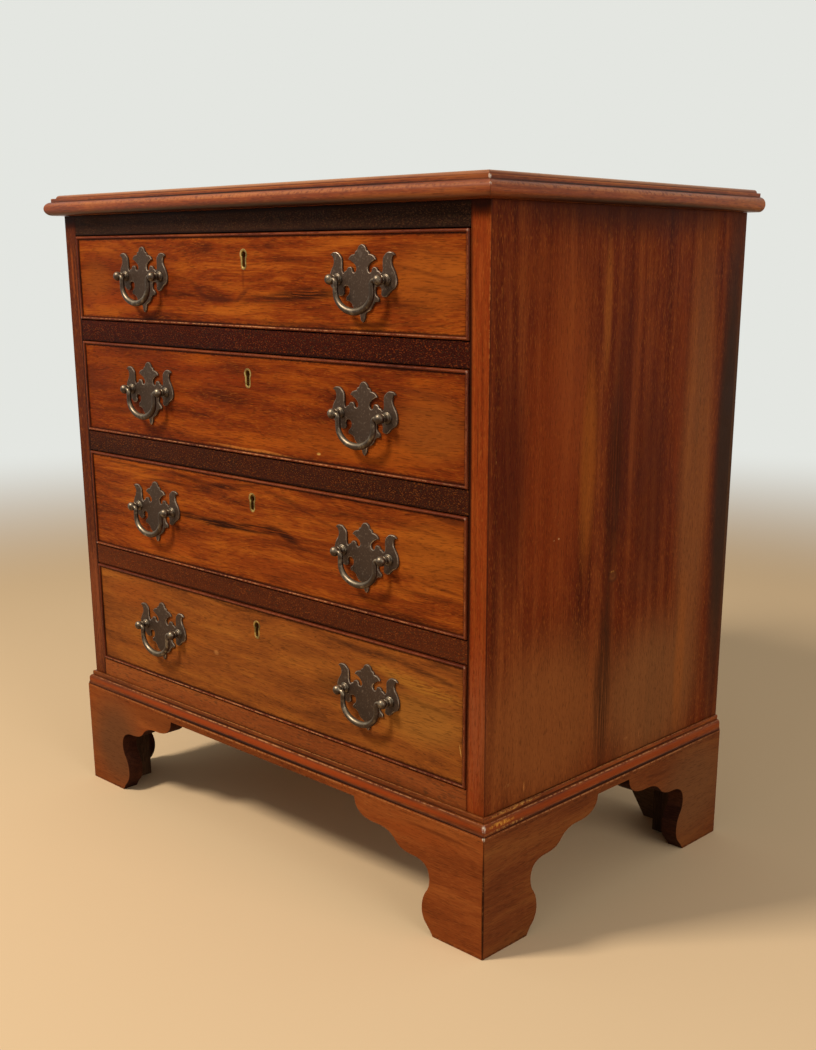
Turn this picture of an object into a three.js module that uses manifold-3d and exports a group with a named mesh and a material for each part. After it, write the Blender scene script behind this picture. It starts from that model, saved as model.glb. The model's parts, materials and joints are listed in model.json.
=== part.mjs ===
// Bachelor's chest: four graduated drawers in a moulded case on a plinth cut into bracket feet.
// Lengths are in millimetres. X runs to the right, Y to the back and Z up; the front of the case is Y = 0.
import * as THREE from 'three';
import { mergeVertices } from 'three/addons/utils/BufferGeometryUtils.js';
import Module from 'manifold-3d';

const wasm = await Module();
wasm.setup();

// Fits and cuts
const fitGap = 0.3;
const mitreGap = 0.2;
const overrun = 2;

// Case
const caseWidth = 662;
const caseDepth = 406;
const sideThickness = 22;
const backThickness = 9;
const backRebate = 11;
const topRailHeight = 22;
const dividerHeight = 22.8;
const bottomRailShow = 20.9;
const railDepth = 60;
const dustBoardThickness = 12;
const housingDepth = 6;
const housingStop = 16;
const openingHeights = [95.5, 107, 117, 124.5];
const stopLength = 30;
const stopDepth = 6;
const stopHeight = 5;
const stopSpacing = 300;
const stopGap = 0.6;

// Top with its moulded edge, from the underside up: roll, fillet, ledge and ovolo
const topSideOverhang = 15;
const topFrontOverhang = 18;
const topBackOverhang = 10;
const rollRadius = 7.5;
const filletSetBack = 6.6;
const filletHeight = 3.7;
const ledgeWidth = 4.3;
const ovoloRun = 3.7;
const ovoloRise = 3.8;

// Plinth and feet
const plinthHeight = 128;
const plinthOverhang = 8.5;
const plinthThickness = 20;
const plinthBackInset = 2;
const apronDepth = 9.5;
const footSpread = 179;
const rearApronDepth = 36;
const rearFootWidth = 66;
const rearFootSpread = 128;
const blockWidth = 32;
const blockClearance = 3;
const baseMouldingHeight = 16.7;

// Drawers
const frontGap = 1.2;
const runGap = 0.4;
const frontThickness = 20;
const beadWidth = 3;
const beadProud = 2;
const drawerSideThickness = 10;
const drawerBackThickness = 9;
const drawerBottomThickness = 6;
const bottomRaise = 9;
const grooveDepth = 4;
const sideDrop = 3;
const backDrop = 5;
const drawerBackClearance = 12;
const tailLength = 14;
const tailCount = 3;
const tailShare = 0.6;
const tailFlareShare = 1 / 6;

// Locks and keyholes
const keyholeDrop = 25.4;
const keyholeHeight = 17;
const keyholeHeadRadius = 3.9;
const keyholeSlotWidth = 5.2;
const lockSetIn = 9;
const lockWidth = 48;
const lockHeight = 40;
const selvedgeWidth = 66;
const selvedgeThickness = 2.2;
const keyPinRadius = 1.3;
const keyPinLength = 8;
const boltWidth = 20;
const boltThickness = 5;
const boltHeight = 14;
const boltThrow = 8;

// Handles: willow plate, two turned posts and a swinging bail
const handleSpacing = 351.5;
const handleRaise = 3;
const postSpacing = 65;
const plateWidth = 90;
const plateHeight = 70;
const plateThickness = 2.2;
const plateBevel = 0.9;
const postReach = 17.5;
const ballRadius = 4.5;
const flangeRadius = 5;
const flangeThickness = 1.2;
const stemRadius = 2.6;
const collarRadius = 3.4;
const collarThickness = 0.9;
const shankRadius = 2.5;
const nutRadius = 5.5;
const nutThickness = 4;
const bailWidth = 48.6;
const bailDrop = 28.5;
const bailLegLength = 7.5;
const bailBendRadius = 3.2;
const bailPinRadius = 1.4;
const bailPinSeat = 3;
const bailRodRadius = 2.4;
const bailBellyRadius = 2.8;

// Counts of facets
const roundSides = 8;
const bendSteps = 2;
const bowSteps = 8;
const curveSteps = 3;
const plateCurveSteps = 2;

// Bracket foot, from its inner toe up to the apron: curve controls and ends, as shares of the foot's
// spread and of the apron's height above the floor
const footToeShares = [0.372, 0];
const footCurveShares = [
  [[0.391, 0.051], [0.425, 0.101]],
  [[0.47, 0.17], [0.464, 0.3], [0.427, 0.388]],
  [[0.397, 0.44], [0.398, 0.523]],
  [[0.402, 0.667], [0.514, 0.675]],
  [[0.626, 0.675], [0.662, 0.747]],
  [[0.704, 0.815], [0.754, 0.831], [0.827, 0.829]],
  [[0.961, 0.829], [0.992, 0.945]],
];

// Base moulding from its top edge down: curve controls and ends, as shares of the plinth's overhang and
// of the moulding's height
const baseLipShares = [0.28, 1];
const baseCurveShares = [
  [[0.41, 1], [0.41, 0.93]],
  [[0.41, 0.68]],
  [[0.53, 0.68]],
  [[0.84, 0.62], [0.82, 0.3]],
  [[0.8, 0.12], [0.9, 0.08]],
  [[0.9, 0]],
];

// Right half of the willow plate from the finial down: curve controls and ends, as shares of half the
// plate's width and of its height above or below the posts
const plateCrownShares = [0, 0.45];
const plateCurveShares = [
  [[0.102, 0.447], [0.138, 0.371]],
  [[0.204, 0.374], [0.213, 0.326]],
  [[0.367, 0.323], [0.409, 0.256]],
  [[0.278, 0.237], [0.182, 0.169]],
  [[0.153, 0.137], [0.184, 0.109]],
  [[0.231, 0.074], [0.284, 0.106]],
  [[0.293, 0.166], [0.364, 0.164]],
  [[0.451, 0.161], [0.458, 0.117]],
  [[0.516, 0.117], [0.547, 0.084]],
  [[0.604, 0.089], [0.607, 0.15]],
  [[0.607, 0.243]],
  [[0.609, 0.293], [0.658, 0.309]],
  [[0.722, 0.361], [0.822, 0.353]],
  [[0.922, 0.351], [0.956, 0.31]],
  [[0.873, 0.314], [0.853, 0.246]],
  [[0.842, 0.197], [0.911, 0.146]],
  [[1.004, 0.064], [1, -0.02]],
  [[0.996, -0.086], [0.922, -0.114]],
  [[0.833, -0.136], [0.778, -0.174]],
  [[0.7, -0.231], [0.604, -0.211]],
  [[0.54, -0.197], [0.564, -0.157]],
  [[0.582, -0.084], [0.482, -0.08]],
  [[0.369, -0.077], [0.382, -0.151]],
  [[0.391, -0.194], [0.458, -0.214]],
  [[0.516, -0.247], [0.462, -0.28]],
  [[0.391, -0.269], [0.311, -0.317]],
  [[0.271, -0.389], [0.156, -0.411]],
  [[0.08, -0.427], [0.071, -0.48]],
  [[0.062, -0.531], [0, -0.55]],
];

// Derived places
const openingWidth = caseWidth - 2 * sideThickness;
const backFace = caseDepth - backThickness;
const topThickness = 2 * rollRadius + filletHeight + ovoloRise;
const apronHeight = plinthHeight - apronDepth;
const plinthBack = caseDepth - plinthBackInset;
const pivotReach = postReach - ballRadius;

// Floor and ceiling of each drawer opening, the top drawer first
const openings = [];
let level = plinthHeight + baseMouldingHeight + bottomRailShow;
for (const height of [...openingHeights].reverse()) {
  openings.unshift({ floor: level, ceiling: level + height });
  level += height + dividerHeight;
}
const caseTop = openings[0].ceiling + topRailHeight;
const caseFoot = plinthHeight + fitGap;

// Finishes
const finish = (color, roughness, metalness = 0) => new THREE.MeshStandardMaterial({ color, roughness, metalness });
const finishes = {
  drawerFront: finish(0x9a4a1c, 0.4),
  sideWood: finish(0x6b2e18, 0.45),
  railWood: finish(0x3d1d14, 0.5),
  topWood: finish(0x7a3520, 0.35),
  plinthWood: finish(0x6a3218, 0.5),
  mouldingWood: finish(0x8a3a1a, 0.4),
  oak: finish(0xa8835a, 0.7),
  brass: finish(0x6e6048, 0.45, 0.9),
  steel: finish(0x6c6a66, 0.5, 0.9),
};

// Skin over a row of like outlines, with a flat cap on the first and the last
function skin(rings, flatOutline) {
  const count = flatOutline.length;
  const last = (rings.length - 1) * count;
  const index = [];
  for (let ring = 0; ring < rings.length - 1; ring++) {
    for (let i = 0; i < count; i++) {
      const a = ring * count + i;
      const b = ring * count + ((i + 1) % count);
      index.push(a, b, b + count, a, b + count, a + count);
    }
  }
  for (const [a, b, c] of THREE.ShapeUtils.triangulateShape(flatOutline, [])) {
    index.push(c, b, a, last + a, last + b, last + c);
  }
  const geometry = new THREE.BufferGeometry().setFromPoints(rings.flat());
  geometry.setIndex(index);
  return geometry;
}

// Box between two corners
function box(x0, x1, y0, y1, z0, z1) {
  const geometry = new THREE.BoxGeometry(x1 - x0, y1 - y0, z1 - z0);
  return geometry.translate((x0 + x1) / 2, (y0 + y1) / 2, (z0 + z1) / 2);
}

// Outline in X and Z, extruded from the front plane to the back plane
function extrudeToBack(shape, front, back) {
  const geometry = new THREE.ExtrudeGeometry(shape, { depth: back - front, bevelEnabled: false, curveSegments: curveSteps });
  const turn = new THREE.Matrix4().makeBasis(
    new THREE.Vector3(1, 0, 0), new THREE.Vector3(0, 0, 1), new THREE.Vector3(0, -1, 0));
  return geometry.applyMatrix4(turn).translate(0, back, 0);
}

// Outline in Y and Z, extruded from one X to a larger one
function extrudeToRight(shape, left, right) {
  const geometry = new THREE.ExtrudeGeometry(shape, { depth: right - left, bevelEnabled: false, curveSegments: curveSteps });
  const turn = new THREE.Matrix4().makeBasis(
    new THREE.Vector3(0, 1, 0), new THREE.Vector3(0, 0, 1), new THREE.Vector3(1, 0, 0));
  return geometry.applyMatrix4(turn).translate(left, 0, 0);
}

// Closed mesh as a solid for joining and cutting
function solid(geometry) {
  const bare = geometry.clone();
  bare.deleteAttribute('normal');
  bare.deleteAttribute('uv');
  const welded = mergeVertices(bare);
  const corners = welded.index.array;
  const triangles = [];
  for (let i = 0; i < corners.length; i += 3) {
    const [a, b, c] = corners.slice(i, i + 3);
    if (a !== b && b !== c && a !== c) triangles.push(a, b, c);
  }
  const vertProperties = new Float32Array(welded.attributes.position.array);
  return new wasm.Manifold(new wasm.Mesh({ numProp: 3, vertProperties, triVerts: new Uint32Array(triangles) }));
}

// Solid back as a geometry
function geometryOf(body) {
  const { vertProperties, triVerts } = body.getMesh();
  const geometry = new THREE.BufferGeometry();
  geometry.setAttribute('position', new THREE.BufferAttribute(vertProperties, 3));
  geometry.setIndex(new THREE.BufferAttribute(triVerts, 1));
  return geometry;
}

// Points along a path of lines and curves: each row holds its controls and, last, its end
function curvePoints(start, rows, place, steps) {
  const path = new THREE.Path();
  const at = (shares) => place(...shares);
  const first = at(start);
  path.moveTo(first.x, first.y);
  for (const row of rows) {
    const points = row.map(at);
    if (points.length === 1) path.lineTo(points[0].x, points[0].y);
    if (points.length === 2) path.quadraticCurveTo(points[0].x, points[0].y, points[1].x, points[1].y);
    if (points.length === 3) {
      path.bezierCurveTo(points[0].x, points[0].y, points[1].x, points[1].y, points[2].x, points[2].y);
    }
  }
  return path.getPoints(steps);
}

const chest = new THREE.Group();
function place(name, geometry, material, parent = chest) {
  const mesh = new THREE.Mesh(geometry, material);
  mesh.name = name;
  parent.add(mesh);
  return mesh;
}

// Case

// Boards between the sides: each has a front rail and a dust board that is housed in the sides
const boards = [{ name: 'top_rail', bottom: openings[0].ceiling, top: caseTop - fitGap, boardBottom: openings[0].ceiling }];
['divider_upper', 'divider_middle', 'divider_lower'].forEach((name, i) => {
  const top = openings[i].floor;
  boards.push({ name, bottom: openings[i + 1].ceiling, top, boardBottom: top - dustBoardThickness });
});
const bottomTop = openings[openings.length - 1].floor;
boards.push({ name: 'case_bottom', bottom: caseFoot, top: bottomTop, boardBottom: bottomTop - dustBoardThickness });

function sideBoard(sign) {
  const inner = openingWidth / 2;
  let board = solid(box(inner, caseWidth / 2, 0, caseDepth, caseFoot, caseTop - fitGap));
  const rebate = box(inner - overrun, inner + backRebate, backFace, caseDepth + overrun, 0, caseTop + overrun);
  board = board.subtract(solid(rebate));
  for (const { boardBottom } of boards) {
    const housing = box(inner - overrun, inner + housingDepth, housingStop - fitGap, caseDepth + overrun,
      boardBottom - fitGap, boardBottom + dustBoardThickness + fitGap);
    board = board.subtract(solid(housing));
  }
  if (sign < 0) board = board.mirror([1, 0, 0]);
  return geometryOf(board);
}

// Mortise that takes a lock bolt, in the underside of the board above a drawer
const boltFront = frontThickness - lockSetIn + (lockSetIn - boltThickness) / 2;
function boltMortise(ceiling) {
  const half = boltWidth / 2 + frontGap;
  return box(-half, half, boltFront - frontGap, boltFront + boltThickness + frontGap,
    ceiling - overrun, ceiling + boltThrow + frontGap);
}

function crossBoard({ name, bottom, top, boardBottom }) {
  const half = openingWidth / 2 - fitGap;
  const housed = openingWidth / 2 + housingDepth - fitGap;
  let board = solid(box(-half, half, 0, railDepth, bottom, top));
  board = board.add(solid(box(-housed, housed, housingStop, backFace - fitGap, boardBottom, boardBottom + dustBoardThickness)));
  if (name !== 'case_bottom') board = board.subtract(solid(boltMortise(bottom)));
  if (name !== 'top_rail') {
    for (const x of [-stopSpacing / 2, stopSpacing / 2]) {
      const front = frontThickness + stopGap;
      const stop = box(x - stopLength / 2, x + stopLength / 2, front, front + stopDepth, top - overrun, top + stopHeight);
      board = board.add(solid(stop));
    }
  }
  return geometryOf(board);
}

place('side_left', sideBoard(-1), finishes.sideWood);
place('side_right', sideBoard(1), finishes.sideWood);
for (const board of boards) place(board.name, crossBoard(board), finishes.railWood);
const backHalf = openingWidth / 2 + backRebate - fitGap;
place('back_panel', box(-backHalf, backHalf, backFace + fitGap, caseDepth, caseFoot, caseTop - fitGap), finishes.oak);

// Top

function topSlab() {
  const rollEnd = Math.acos((rollRadius - filletSetBack) / rollRadius);
  const ledgeHeight = 2 * rollRadius + filletHeight;
  const ovoloFoot = filletSetBack + ledgeWidth;
  const edge = new THREE.Path();
  edge.absarc(-rollRadius, rollRadius, rollRadius, -Math.PI / 2, rollEnd, false);
  edge.lineTo(-filletSetBack, ledgeHeight);
  edge.lineTo(-ovoloFoot, ledgeHeight);
  edge.absellipse(-ovoloFoot - ovoloRun, ledgeHeight, ovoloRun, ovoloRise, 0, Math.PI / 2, false, 0);
  const rectangle = (point) => {
    const x = caseWidth / 2 + topSideOverhang + point.x;
    const front = -topFrontOverhang - point.x;
    const back = caseDepth + topBackOverhang;
    return [[-x, front], [x, front], [x, back], [-x, back]].map(([px, py]) => new THREE.Vector3(px, py, caseTop + point.y));
  };
  const stations = edge.getPoints(curveSteps);
  const rings = stations.map(rectangle);
  return geometryOf(solid(skin(rings, rings[0].map((p) => new THREE.Vector2(p.x, p.y)))));
}
place('top', topSlab(), finishes.topWood);

// Plinth

// Foot cut from its toe to the apron, measured from the outer corner of the foot
const footPoints = curvePoints(footToeShares, [...footCurveShares, [[1, 1]]],
  (x, z) => new THREE.Vector2(x * footSpread, z * apronHeight), curveSteps);

function plinthShape(length) {
  const mirrored = footPoints.map((p) => new THREE.Vector2(length - p.x, p.y)).reverse();
  const corners = [new THREE.Vector2(length, 0), new THREE.Vector2(length, plinthHeight), new THREE.Vector2(0, plinthHeight)];
  return new THREE.Shape([new THREE.Vector2(0, 0), ...footPoints, ...mirrored, ...corners]);
}

// Moves a board's end corners along its length by their depth behind the outer face
function mitreEnds(geometry, atEnd, slide) {
  const position = geometry.attributes.position;
  const point = new THREE.Vector3();
  for (let i = 0; i < position.count; i++) {
    point.fromBufferAttribute(position, i);
    if (atEnd(point)) slide(point);
    position.setXYZ(i, point.x, point.y, point.z);
  }
  return geometry;
}

const outerHalf = caseWidth / 2 + plinthOverhang;

function plinthFront() {
  const geometry = extrudeToBack(plinthShape(2 * outerHalf), -plinthOverhang, plinthThickness - plinthOverhang);
  geometry.translate(-outerHalf, 0, 0);
  return mitreEnds(geometry, (p) => Math.abs(p.x) > outerHalf - mitreGap, (p) => {
    p.x -= Math.sign(p.x) * (p.y + plinthOverhang + mitreGap);
  });
}

// Side of the plinth, with the upright blocks that are glued inside its corners
function plinthSide(sign) {
  const inner = outerHalf - plinthThickness;
  const geometry = extrudeToRight(plinthShape(plinthBack + plinthOverhang), inner, outerHalf);
  geometry.translate(0, -plinthOverhang, 0);
  mitreEnds(geometry, (p) => p.y < mitreGap - plinthOverhang, (p) => {
    p.y += outerHalf - p.x + mitreGap;
  });
  let board = solid(geometry);
  const frontBlock = plinthThickness - plinthOverhang + fitGap;
  const rearBlock = plinthBack - plinthThickness - fitGap - blockWidth;
  for (const y of [frontBlock, rearBlock]) {
    const block = box(inner - blockWidth, inner + overrun, y, y + blockWidth, blockClearance, plinthHeight - blockClearance);
    board = board.add(solid(block));
  }
  if (sign < 0) board = board.mirror([1, 0, 0]);
  return geometryOf(board);
}

function plinthBackBoard() {
  const half = outerHalf - plinthThickness - fitGap;
  const rearApron = plinthHeight - rearApronDepth;
  const outline = [
    [-half, 0], [-half + rearFootWidth, 0], [-half + rearFootSpread, rearApron],
    [half - rearFootSpread, rearApron], [half - rearFootWidth, 0], [half, 0],
    [half, plinthHeight], [-half, plinthHeight],
  ];
  const shape = new THREE.Shape(outline.map(([x, z]) => new THREE.Vector2(x, z)));
  return extrudeToBack(shape, plinthBack - plinthThickness, plinthBack);
}

place('plinth_front', plinthFront(), finishes.plinthWood);
place('plinth_left', plinthSide(-1), finishes.plinthWood);
place('plinth_right', plinthSide(1), finishes.plinthWood);
place('plinth_back', plinthBackBoard(), finishes.oak);

// Base moulding, three lengths mitred at the front corners

const baseProfile = [
  new THREE.Vector2(fitGap, fitGap),
  new THREE.Vector2(fitGap, baseMouldingHeight),
  ...curvePoints(baseLipShares, baseCurveShares,
    (out, up) => new THREE.Vector2(out * plinthOverhang, Math.max(up * baseMouldingHeight, fitGap)), curveSteps),
];
const baseFlat = baseProfile.map((p) => new THREE.Vector2(-p.x, p.y));
const baseRing = (corner) => baseProfile.map((p) => {
  const { x, y } = corner(p.x);
  return new THREE.Vector3(x, y, plinthHeight + p.y);
});

function frontMoulding() {
  const end = (sign) => baseRing((out) => ({ x: sign * (caseWidth / 2 + out - mitreGap), y: -out }));
  return skin([end(-1), end(1)], baseFlat);
}

function sideMoulding(sign) {
  const front = baseRing((out) => ({ x: sign * (caseWidth / 2 + out), y: mitreGap - out }));
  const back = baseRing((out) => ({ x: sign * (caseWidth / 2 + out), y: plinthBack }));
  return skin(sign > 0 ? [front, back] : [back, front], baseFlat);
}

place('base_moulding_front', frontMoulding(), finishes.mouldingWood);
place('base_moulding_left', sideMoulding(-1), finishes.mouldingWood);
place('base_moulding_right', sideMoulding(1), finishes.mouldingWood);

// Drawers

// Tails of a drawer side, as centre and half heights at the shoulder and at the tip
function tailsBetween(bottom, top) {
  const pitch = (top - bottom) / tailCount;
  const root = pitch * tailShare / 2;
  return Array.from({ length: tailCount }, (_, i) => (
    { centre: bottom + (i + 0.5) * pitch, root, tip: root + tailLength * tailFlareShare }));
}

const drawerHalf = openingWidth / 2 - frontGap;
const sideInner = drawerHalf - drawerSideThickness;
const drawerBack = backFace - drawerBackClearance;
const tailTip = frontThickness - tailLength;

function drawerSizes({ floor, ceiling }) {
  const sideBottom = floor + runGap;
  const frontTop = ceiling - frontGap;
  const bottomUnder = sideBottom + bottomRaise;
  return {
    frontBottom: floor + frontGap, frontTop, sideBottom, sideTop: frontTop - sideDrop, bottomUnder,
    bottomOver: bottomUnder + drawerBottomThickness,
    keyholeCentre: frontTop - keyholeDrop,
    handleHeight: (floor + ceiling) / 2 + handleRaise,
  };
}

// Groove for the drawer bottom, cut across the front or along a side
function bottomGroove(sizes, x0, x1, y0, y1) {
  return solid(box(x0, x1, y0, y1, sizes.bottomUnder - fitGap, sizes.bottomOver + fitGap));
}

function keyholeShape(centre) {
  const half = keyholeSlotWidth / 2;
  const headCentre = centre + keyholeHeight / 2 - keyholeHeadRadius;
  const start = -Math.acos(half / keyholeHeadRadius);
  const shape = new THREE.Shape();
  shape.moveTo(-half, centre - keyholeHeight / 2);
  shape.lineTo(half, centre - keyholeHeight / 2);
  shape.absarc(0, headCentre, keyholeHeadRadius, start, Math.PI - start, false);
  return shape;
}

// Lock outline in X and Z, grown all round by a gap
function lockShape(frontTop, gap) {
  const wide = selvedgeWidth / 2 + gap;
  const narrow = lockWidth / 2 + gap;
  const lip = frontTop - selvedgeThickness - gap;
  const foot = frontTop - lockHeight - gap;
  const outline = [[-narrow, foot], [narrow, foot], [narrow, lip], [wide, lip], [wide, frontTop + 2 * gap],
    [-wide, frontTop + 2 * gap], [-wide, lip], [-narrow, lip]];
  return new THREE.Shape(outline.map(([x, z]) => new THREE.Vector2(x, z)));
}

function drawerFront(sizes) {
  // Cockbead and field, as one board: rectangles that step in from the back edge to the field
  const rim = new THREE.Path();
  rim.moveTo(0, frontThickness);
  rim.lineTo(0, 0);
  rim.absellipse(beadWidth / 2, 0, beadWidth / 2, beadProud, Math.PI, 2 * Math.PI, false, 0);
  const rectangle = ({ x: inset, y: depth }) => {
    const half = drawerHalf - inset;
    const low = sizes.frontBottom + inset;
    const high = sizes.frontTop - inset;
    return [[-half, low], [half, low], [half, high], [-half, high]].map(([x, z]) => new THREE.Vector3(x, depth, z));
  };
  const rings = rim.getPoints(curveSteps).map(rectangle);
  let front = solid(skin(rings, rings[0].map((p) => new THREE.Vector2(p.x, p.z))));
  for (const sign of [-1, 1]) {
    for (const { centre, root, tip } of tailsBetween(sizes.sideBottom, sizes.sideTop)) {
      const rear = frontThickness + overrun;
      const outline = [[tailTip, -tip], [frontThickness, -root], [rear, -root], [rear, root], [frontThickness, root], [tailTip, tip]];
      const socket = new THREE.Shape(outline.map(([y, z]) => new THREE.Vector2(y, centre + z + Math.sign(z) * fitGap)));
      const edges = [sign * (sideInner - fitGap), sign * (drawerHalf + overrun)].sort((a, b) => a - b);
      front = front.subtract(solid(extrudeToRight(socket, ...edges)));
    }
    const handle = handleCentre(sizes, sign);
    for (const side of [-1, 1]) {
      const shank = new THREE.CylinderGeometry(shankRadius + fitGap, shankRadius + fitGap, 2 * frontThickness, roundSides);
      shank.translate(handle.x + side * postSpacing / 2, frontThickness / 2, handle.z);
      front = front.subtract(solid(shank));
    }
  }
  const grooveHalf = sideInner + grooveDepth;
  front = front.subtract(bottomGroove(sizes, -grooveHalf, grooveHalf, frontThickness - grooveDepth, frontThickness + overrun));
  front = front.subtract(solid(extrudeToBack(keyholeShape(sizes.keyholeCentre), -overrun, frontThickness + overrun)));
  const recess = extrudeToBack(lockShape(sizes.frontTop, fitGap), frontThickness - lockSetIn, frontThickness + overrun);
  return geometryOf(front.subtract(solid(recess)));
}

function drawerSide(sizes, sign) {
  const shoulder = frontThickness + fitGap;
  const outline = [[drawerBack, sizes.sideBottom], [drawerBack, sizes.sideTop], [shoulder, sizes.sideTop]];
  for (const { centre, root, tip } of tailsBetween(sizes.sideBottom, sizes.sideTop).reverse()) {
    outline.push([shoulder, centre + root], [tailTip + fitGap, centre + tip], [tailTip + fitGap, centre - tip], [shoulder, centre - root]);
  }
  outline.push([shoulder, sizes.sideBottom]);
  const shape = new THREE.Shape(outline.map(([y, z]) => new THREE.Vector2(y, z)));
  let side = solid(extrudeToRight(shape, sideInner, drawerHalf));
  side = side.subtract(bottomGroove(sizes, sideInner - overrun, sideInner + grooveDepth, 0, drawerBack + overrun));
  if (sign < 0) side = side.mirror([1, 0, 0]);
  return geometryOf(side);
}

function lockBody(sizes) {
  const front = frontThickness - lockSetIn + fitGap;
  let lock = solid(extrudeToBack(lockShape(sizes.frontTop, 0), front, frontThickness));
  const pin = new THREE.CylinderGeometry(keyPinRadius, keyPinRadius, keyPinLength + overrun, roundSides);
  const pinHeight = sizes.keyholeCentre + keyholeHeight / 2 - keyholeHeadRadius;
  pin.translate(0, front - (keyPinLength - overrun) / 2, pinHeight);
  lock = lock.add(solid(pin));
  const half = boltWidth / 2 + fitGap;
  const slot = box(-half, half, boltFront - fitGap, boltFront + boltThickness + fitGap,
    sizes.frontTop - boltHeight - fitGap, sizes.frontTop + overrun);
  return geometryOf(lock.subtract(solid(slot)));
}

function lockBolt(sizes) {
  return box(-boltWidth / 2, boltWidth / 2, boltFront, boltFront + boltThickness, sizes.frontTop - boltHeight, sizes.frontTop);
}

// Handles

function handleCentre(sizes, sign) {
  return { x: sign * handleSpacing / 2, z: sizes.handleHeight };
}

// Outline drawn in by a distance along the bisector of each corner
function insetOutline(outline, distance) {
  const count = outline.length;
  const leftOf = (from, to) => new THREE.Vector2(from.y - to.y, to.x - from.x).normalize();
  return outline.map((point, i) => {
    const before = leftOf(outline[(i + count - 1) % count], point);
    const after = leftOf(point, outline[(i + 1) % count]);
    const inward = before.clone().add(after).normalize();
    return point.clone().addScaledVector(inward, distance);
  });
}

const plateHalf = curvePoints(plateCrownShares, plateCurveShares,
  (x, z) => new THREE.Vector2(x * plateWidth / 2, z * plateHeight), plateCurveSteps);
const plateLeft = plateHalf.slice(1, -1).map((p) => new THREE.Vector2(-p.x, p.y));
const plateOutline = [...plateLeft, ...plateHalf.slice().reverse()];

function willowPlate() {
  const ring = (outline, depth) => outline.map((p) => new THREE.Vector3(p.x, -depth, p.y));
  const face = insetOutline(plateOutline, plateBevel);
  return skin([ring(plateOutline, fitGap), ring(face, plateThickness)], plateOutline);
}

// Turned post along -Y: nut, shank, flange, stem, collar and ball
function turnedPost() {
  const nutFace = -frontThickness - fitGap;
  const flangeTop = plateThickness + flangeThickness;
  const collarTop = pivotReach - Math.sqrt(ballRadius ** 2 - collarRadius ** 2);
  const profile = [
    [0, nutFace - nutThickness], [nutRadius, nutFace - nutThickness], [nutRadius, nutFace], [shankRadius, nutFace],
    [shankRadius, plateThickness / 2], [flangeRadius, plateThickness / 2], [flangeRadius, flangeTop],
    [stemRadius, flangeTop + flangeThickness], [stemRadius, collarTop - collarThickness], [collarRadius, collarTop],
  ].map(([r, h]) => new THREE.Vector2(r, h));
  const ballStart = Math.acos(collarRadius / ballRadius);
  const ball = new THREE.Path();
  ball.absarc(0, pivotReach, ballRadius, -ballStart, Math.PI / 2, false);
  profile.push(...ball.getPoints(curveSteps - 1).slice(1, -1), new THREE.Vector2(0, postReach));
  const geometry = new THREE.LatheGeometry(profile, roundSides);
  return geometry.rotateX(Math.PI);
}

function handlePlate() {
  let plate = solid(willowPlate());
  for (const sign of [-1, 1]) {
    const post = turnedPost().translate(sign * postSpacing / 2, 0, 0);
    plate = plate.add(solid(post));
    const socket = new THREE.CylinderGeometry(bailPinRadius + fitGap, bailPinRadius + fitGap, ballRadius, roundSides);
    socket.rotateZ(Math.PI / 2);
    const socketEnd = postSpacing / 2 - ballRadius + bailPinSeat + fitGap;
    socket.translate(sign * (socketEnd - ballRadius / 2), -pivotReach, 0);
    plate = plate.subtract(solid(socket));
  }
  return geometryOf(plate);
}

// Bail: pin, bend, leg and half of the bow, with the rod's radius at each station
function bailStations() {
  const legX = bailWidth / 2;
  const pinEnd = postSpacing / 2 - ballRadius + bailPinSeat;
  const half = [{ x: pinEnd, z: 0, radius: bailPinRadius }];
  for (let i = 0; i <= bendSteps; i++) {
    const angle = (i / bendSteps) * Math.PI / 2;
    const radius = THREE.MathUtils.lerp(bailPinRadius, bailRodRadius, i / bendSteps);
    const x = legX + bailBendRadius * (1 - Math.sin(angle));
    half.push({ x, z: -bailBendRadius * (1 - Math.cos(angle)), radius });
  }
  const bowTop = -bailBendRadius - bailLegLength;
  for (let i = 0; i < bowSteps / 2; i++) {
    const angle = (i / bowSteps) * Math.PI;
    const radius = THREE.MathUtils.lerp(bailRodRadius, bailBellyRadius, Math.sin(angle));
    half.push({ x: legX * Math.cos(angle), z: bowTop - (bailDrop + bowTop) * Math.sin(angle), radius });
  }
  const mirrored = half.map(({ x, z, radius }) => ({ x: -x, z, radius })).reverse();
  return [...half, { x: 0, z: -bailDrop, radius: bailBellyRadius }, ...mirrored];
}

function bail() {
  const stations = bailStations();
  const circle = Array.from({ length: roundSides }, (_, i) => {
    const angle = (i / roundSides) * 2 * Math.PI;
    return new THREE.Vector2(Math.cos(angle), Math.sin(angle));
  });
  const rings = stations.map(({ x, z, radius }, i) => {
    const before = stations[Math.max(i - 1, 0)];
    const after = stations[Math.min(i + 1, stations.length - 1)];
    const along = new THREE.Vector3(after.x - before.x, 0, after.z - before.z).normalize();
    const across = new THREE.Vector3(0, 1, 0);
    const outward = new THREE.Vector3().crossVectors(across, along);
    const centre = new THREE.Vector3(x, 0, z);
    return circle.map((p) => centre.clone().addScaledVector(outward, p.x * radius).addScaledVector(across, p.y * radius));
  });
  return skin(rings, circle);
}

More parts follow.
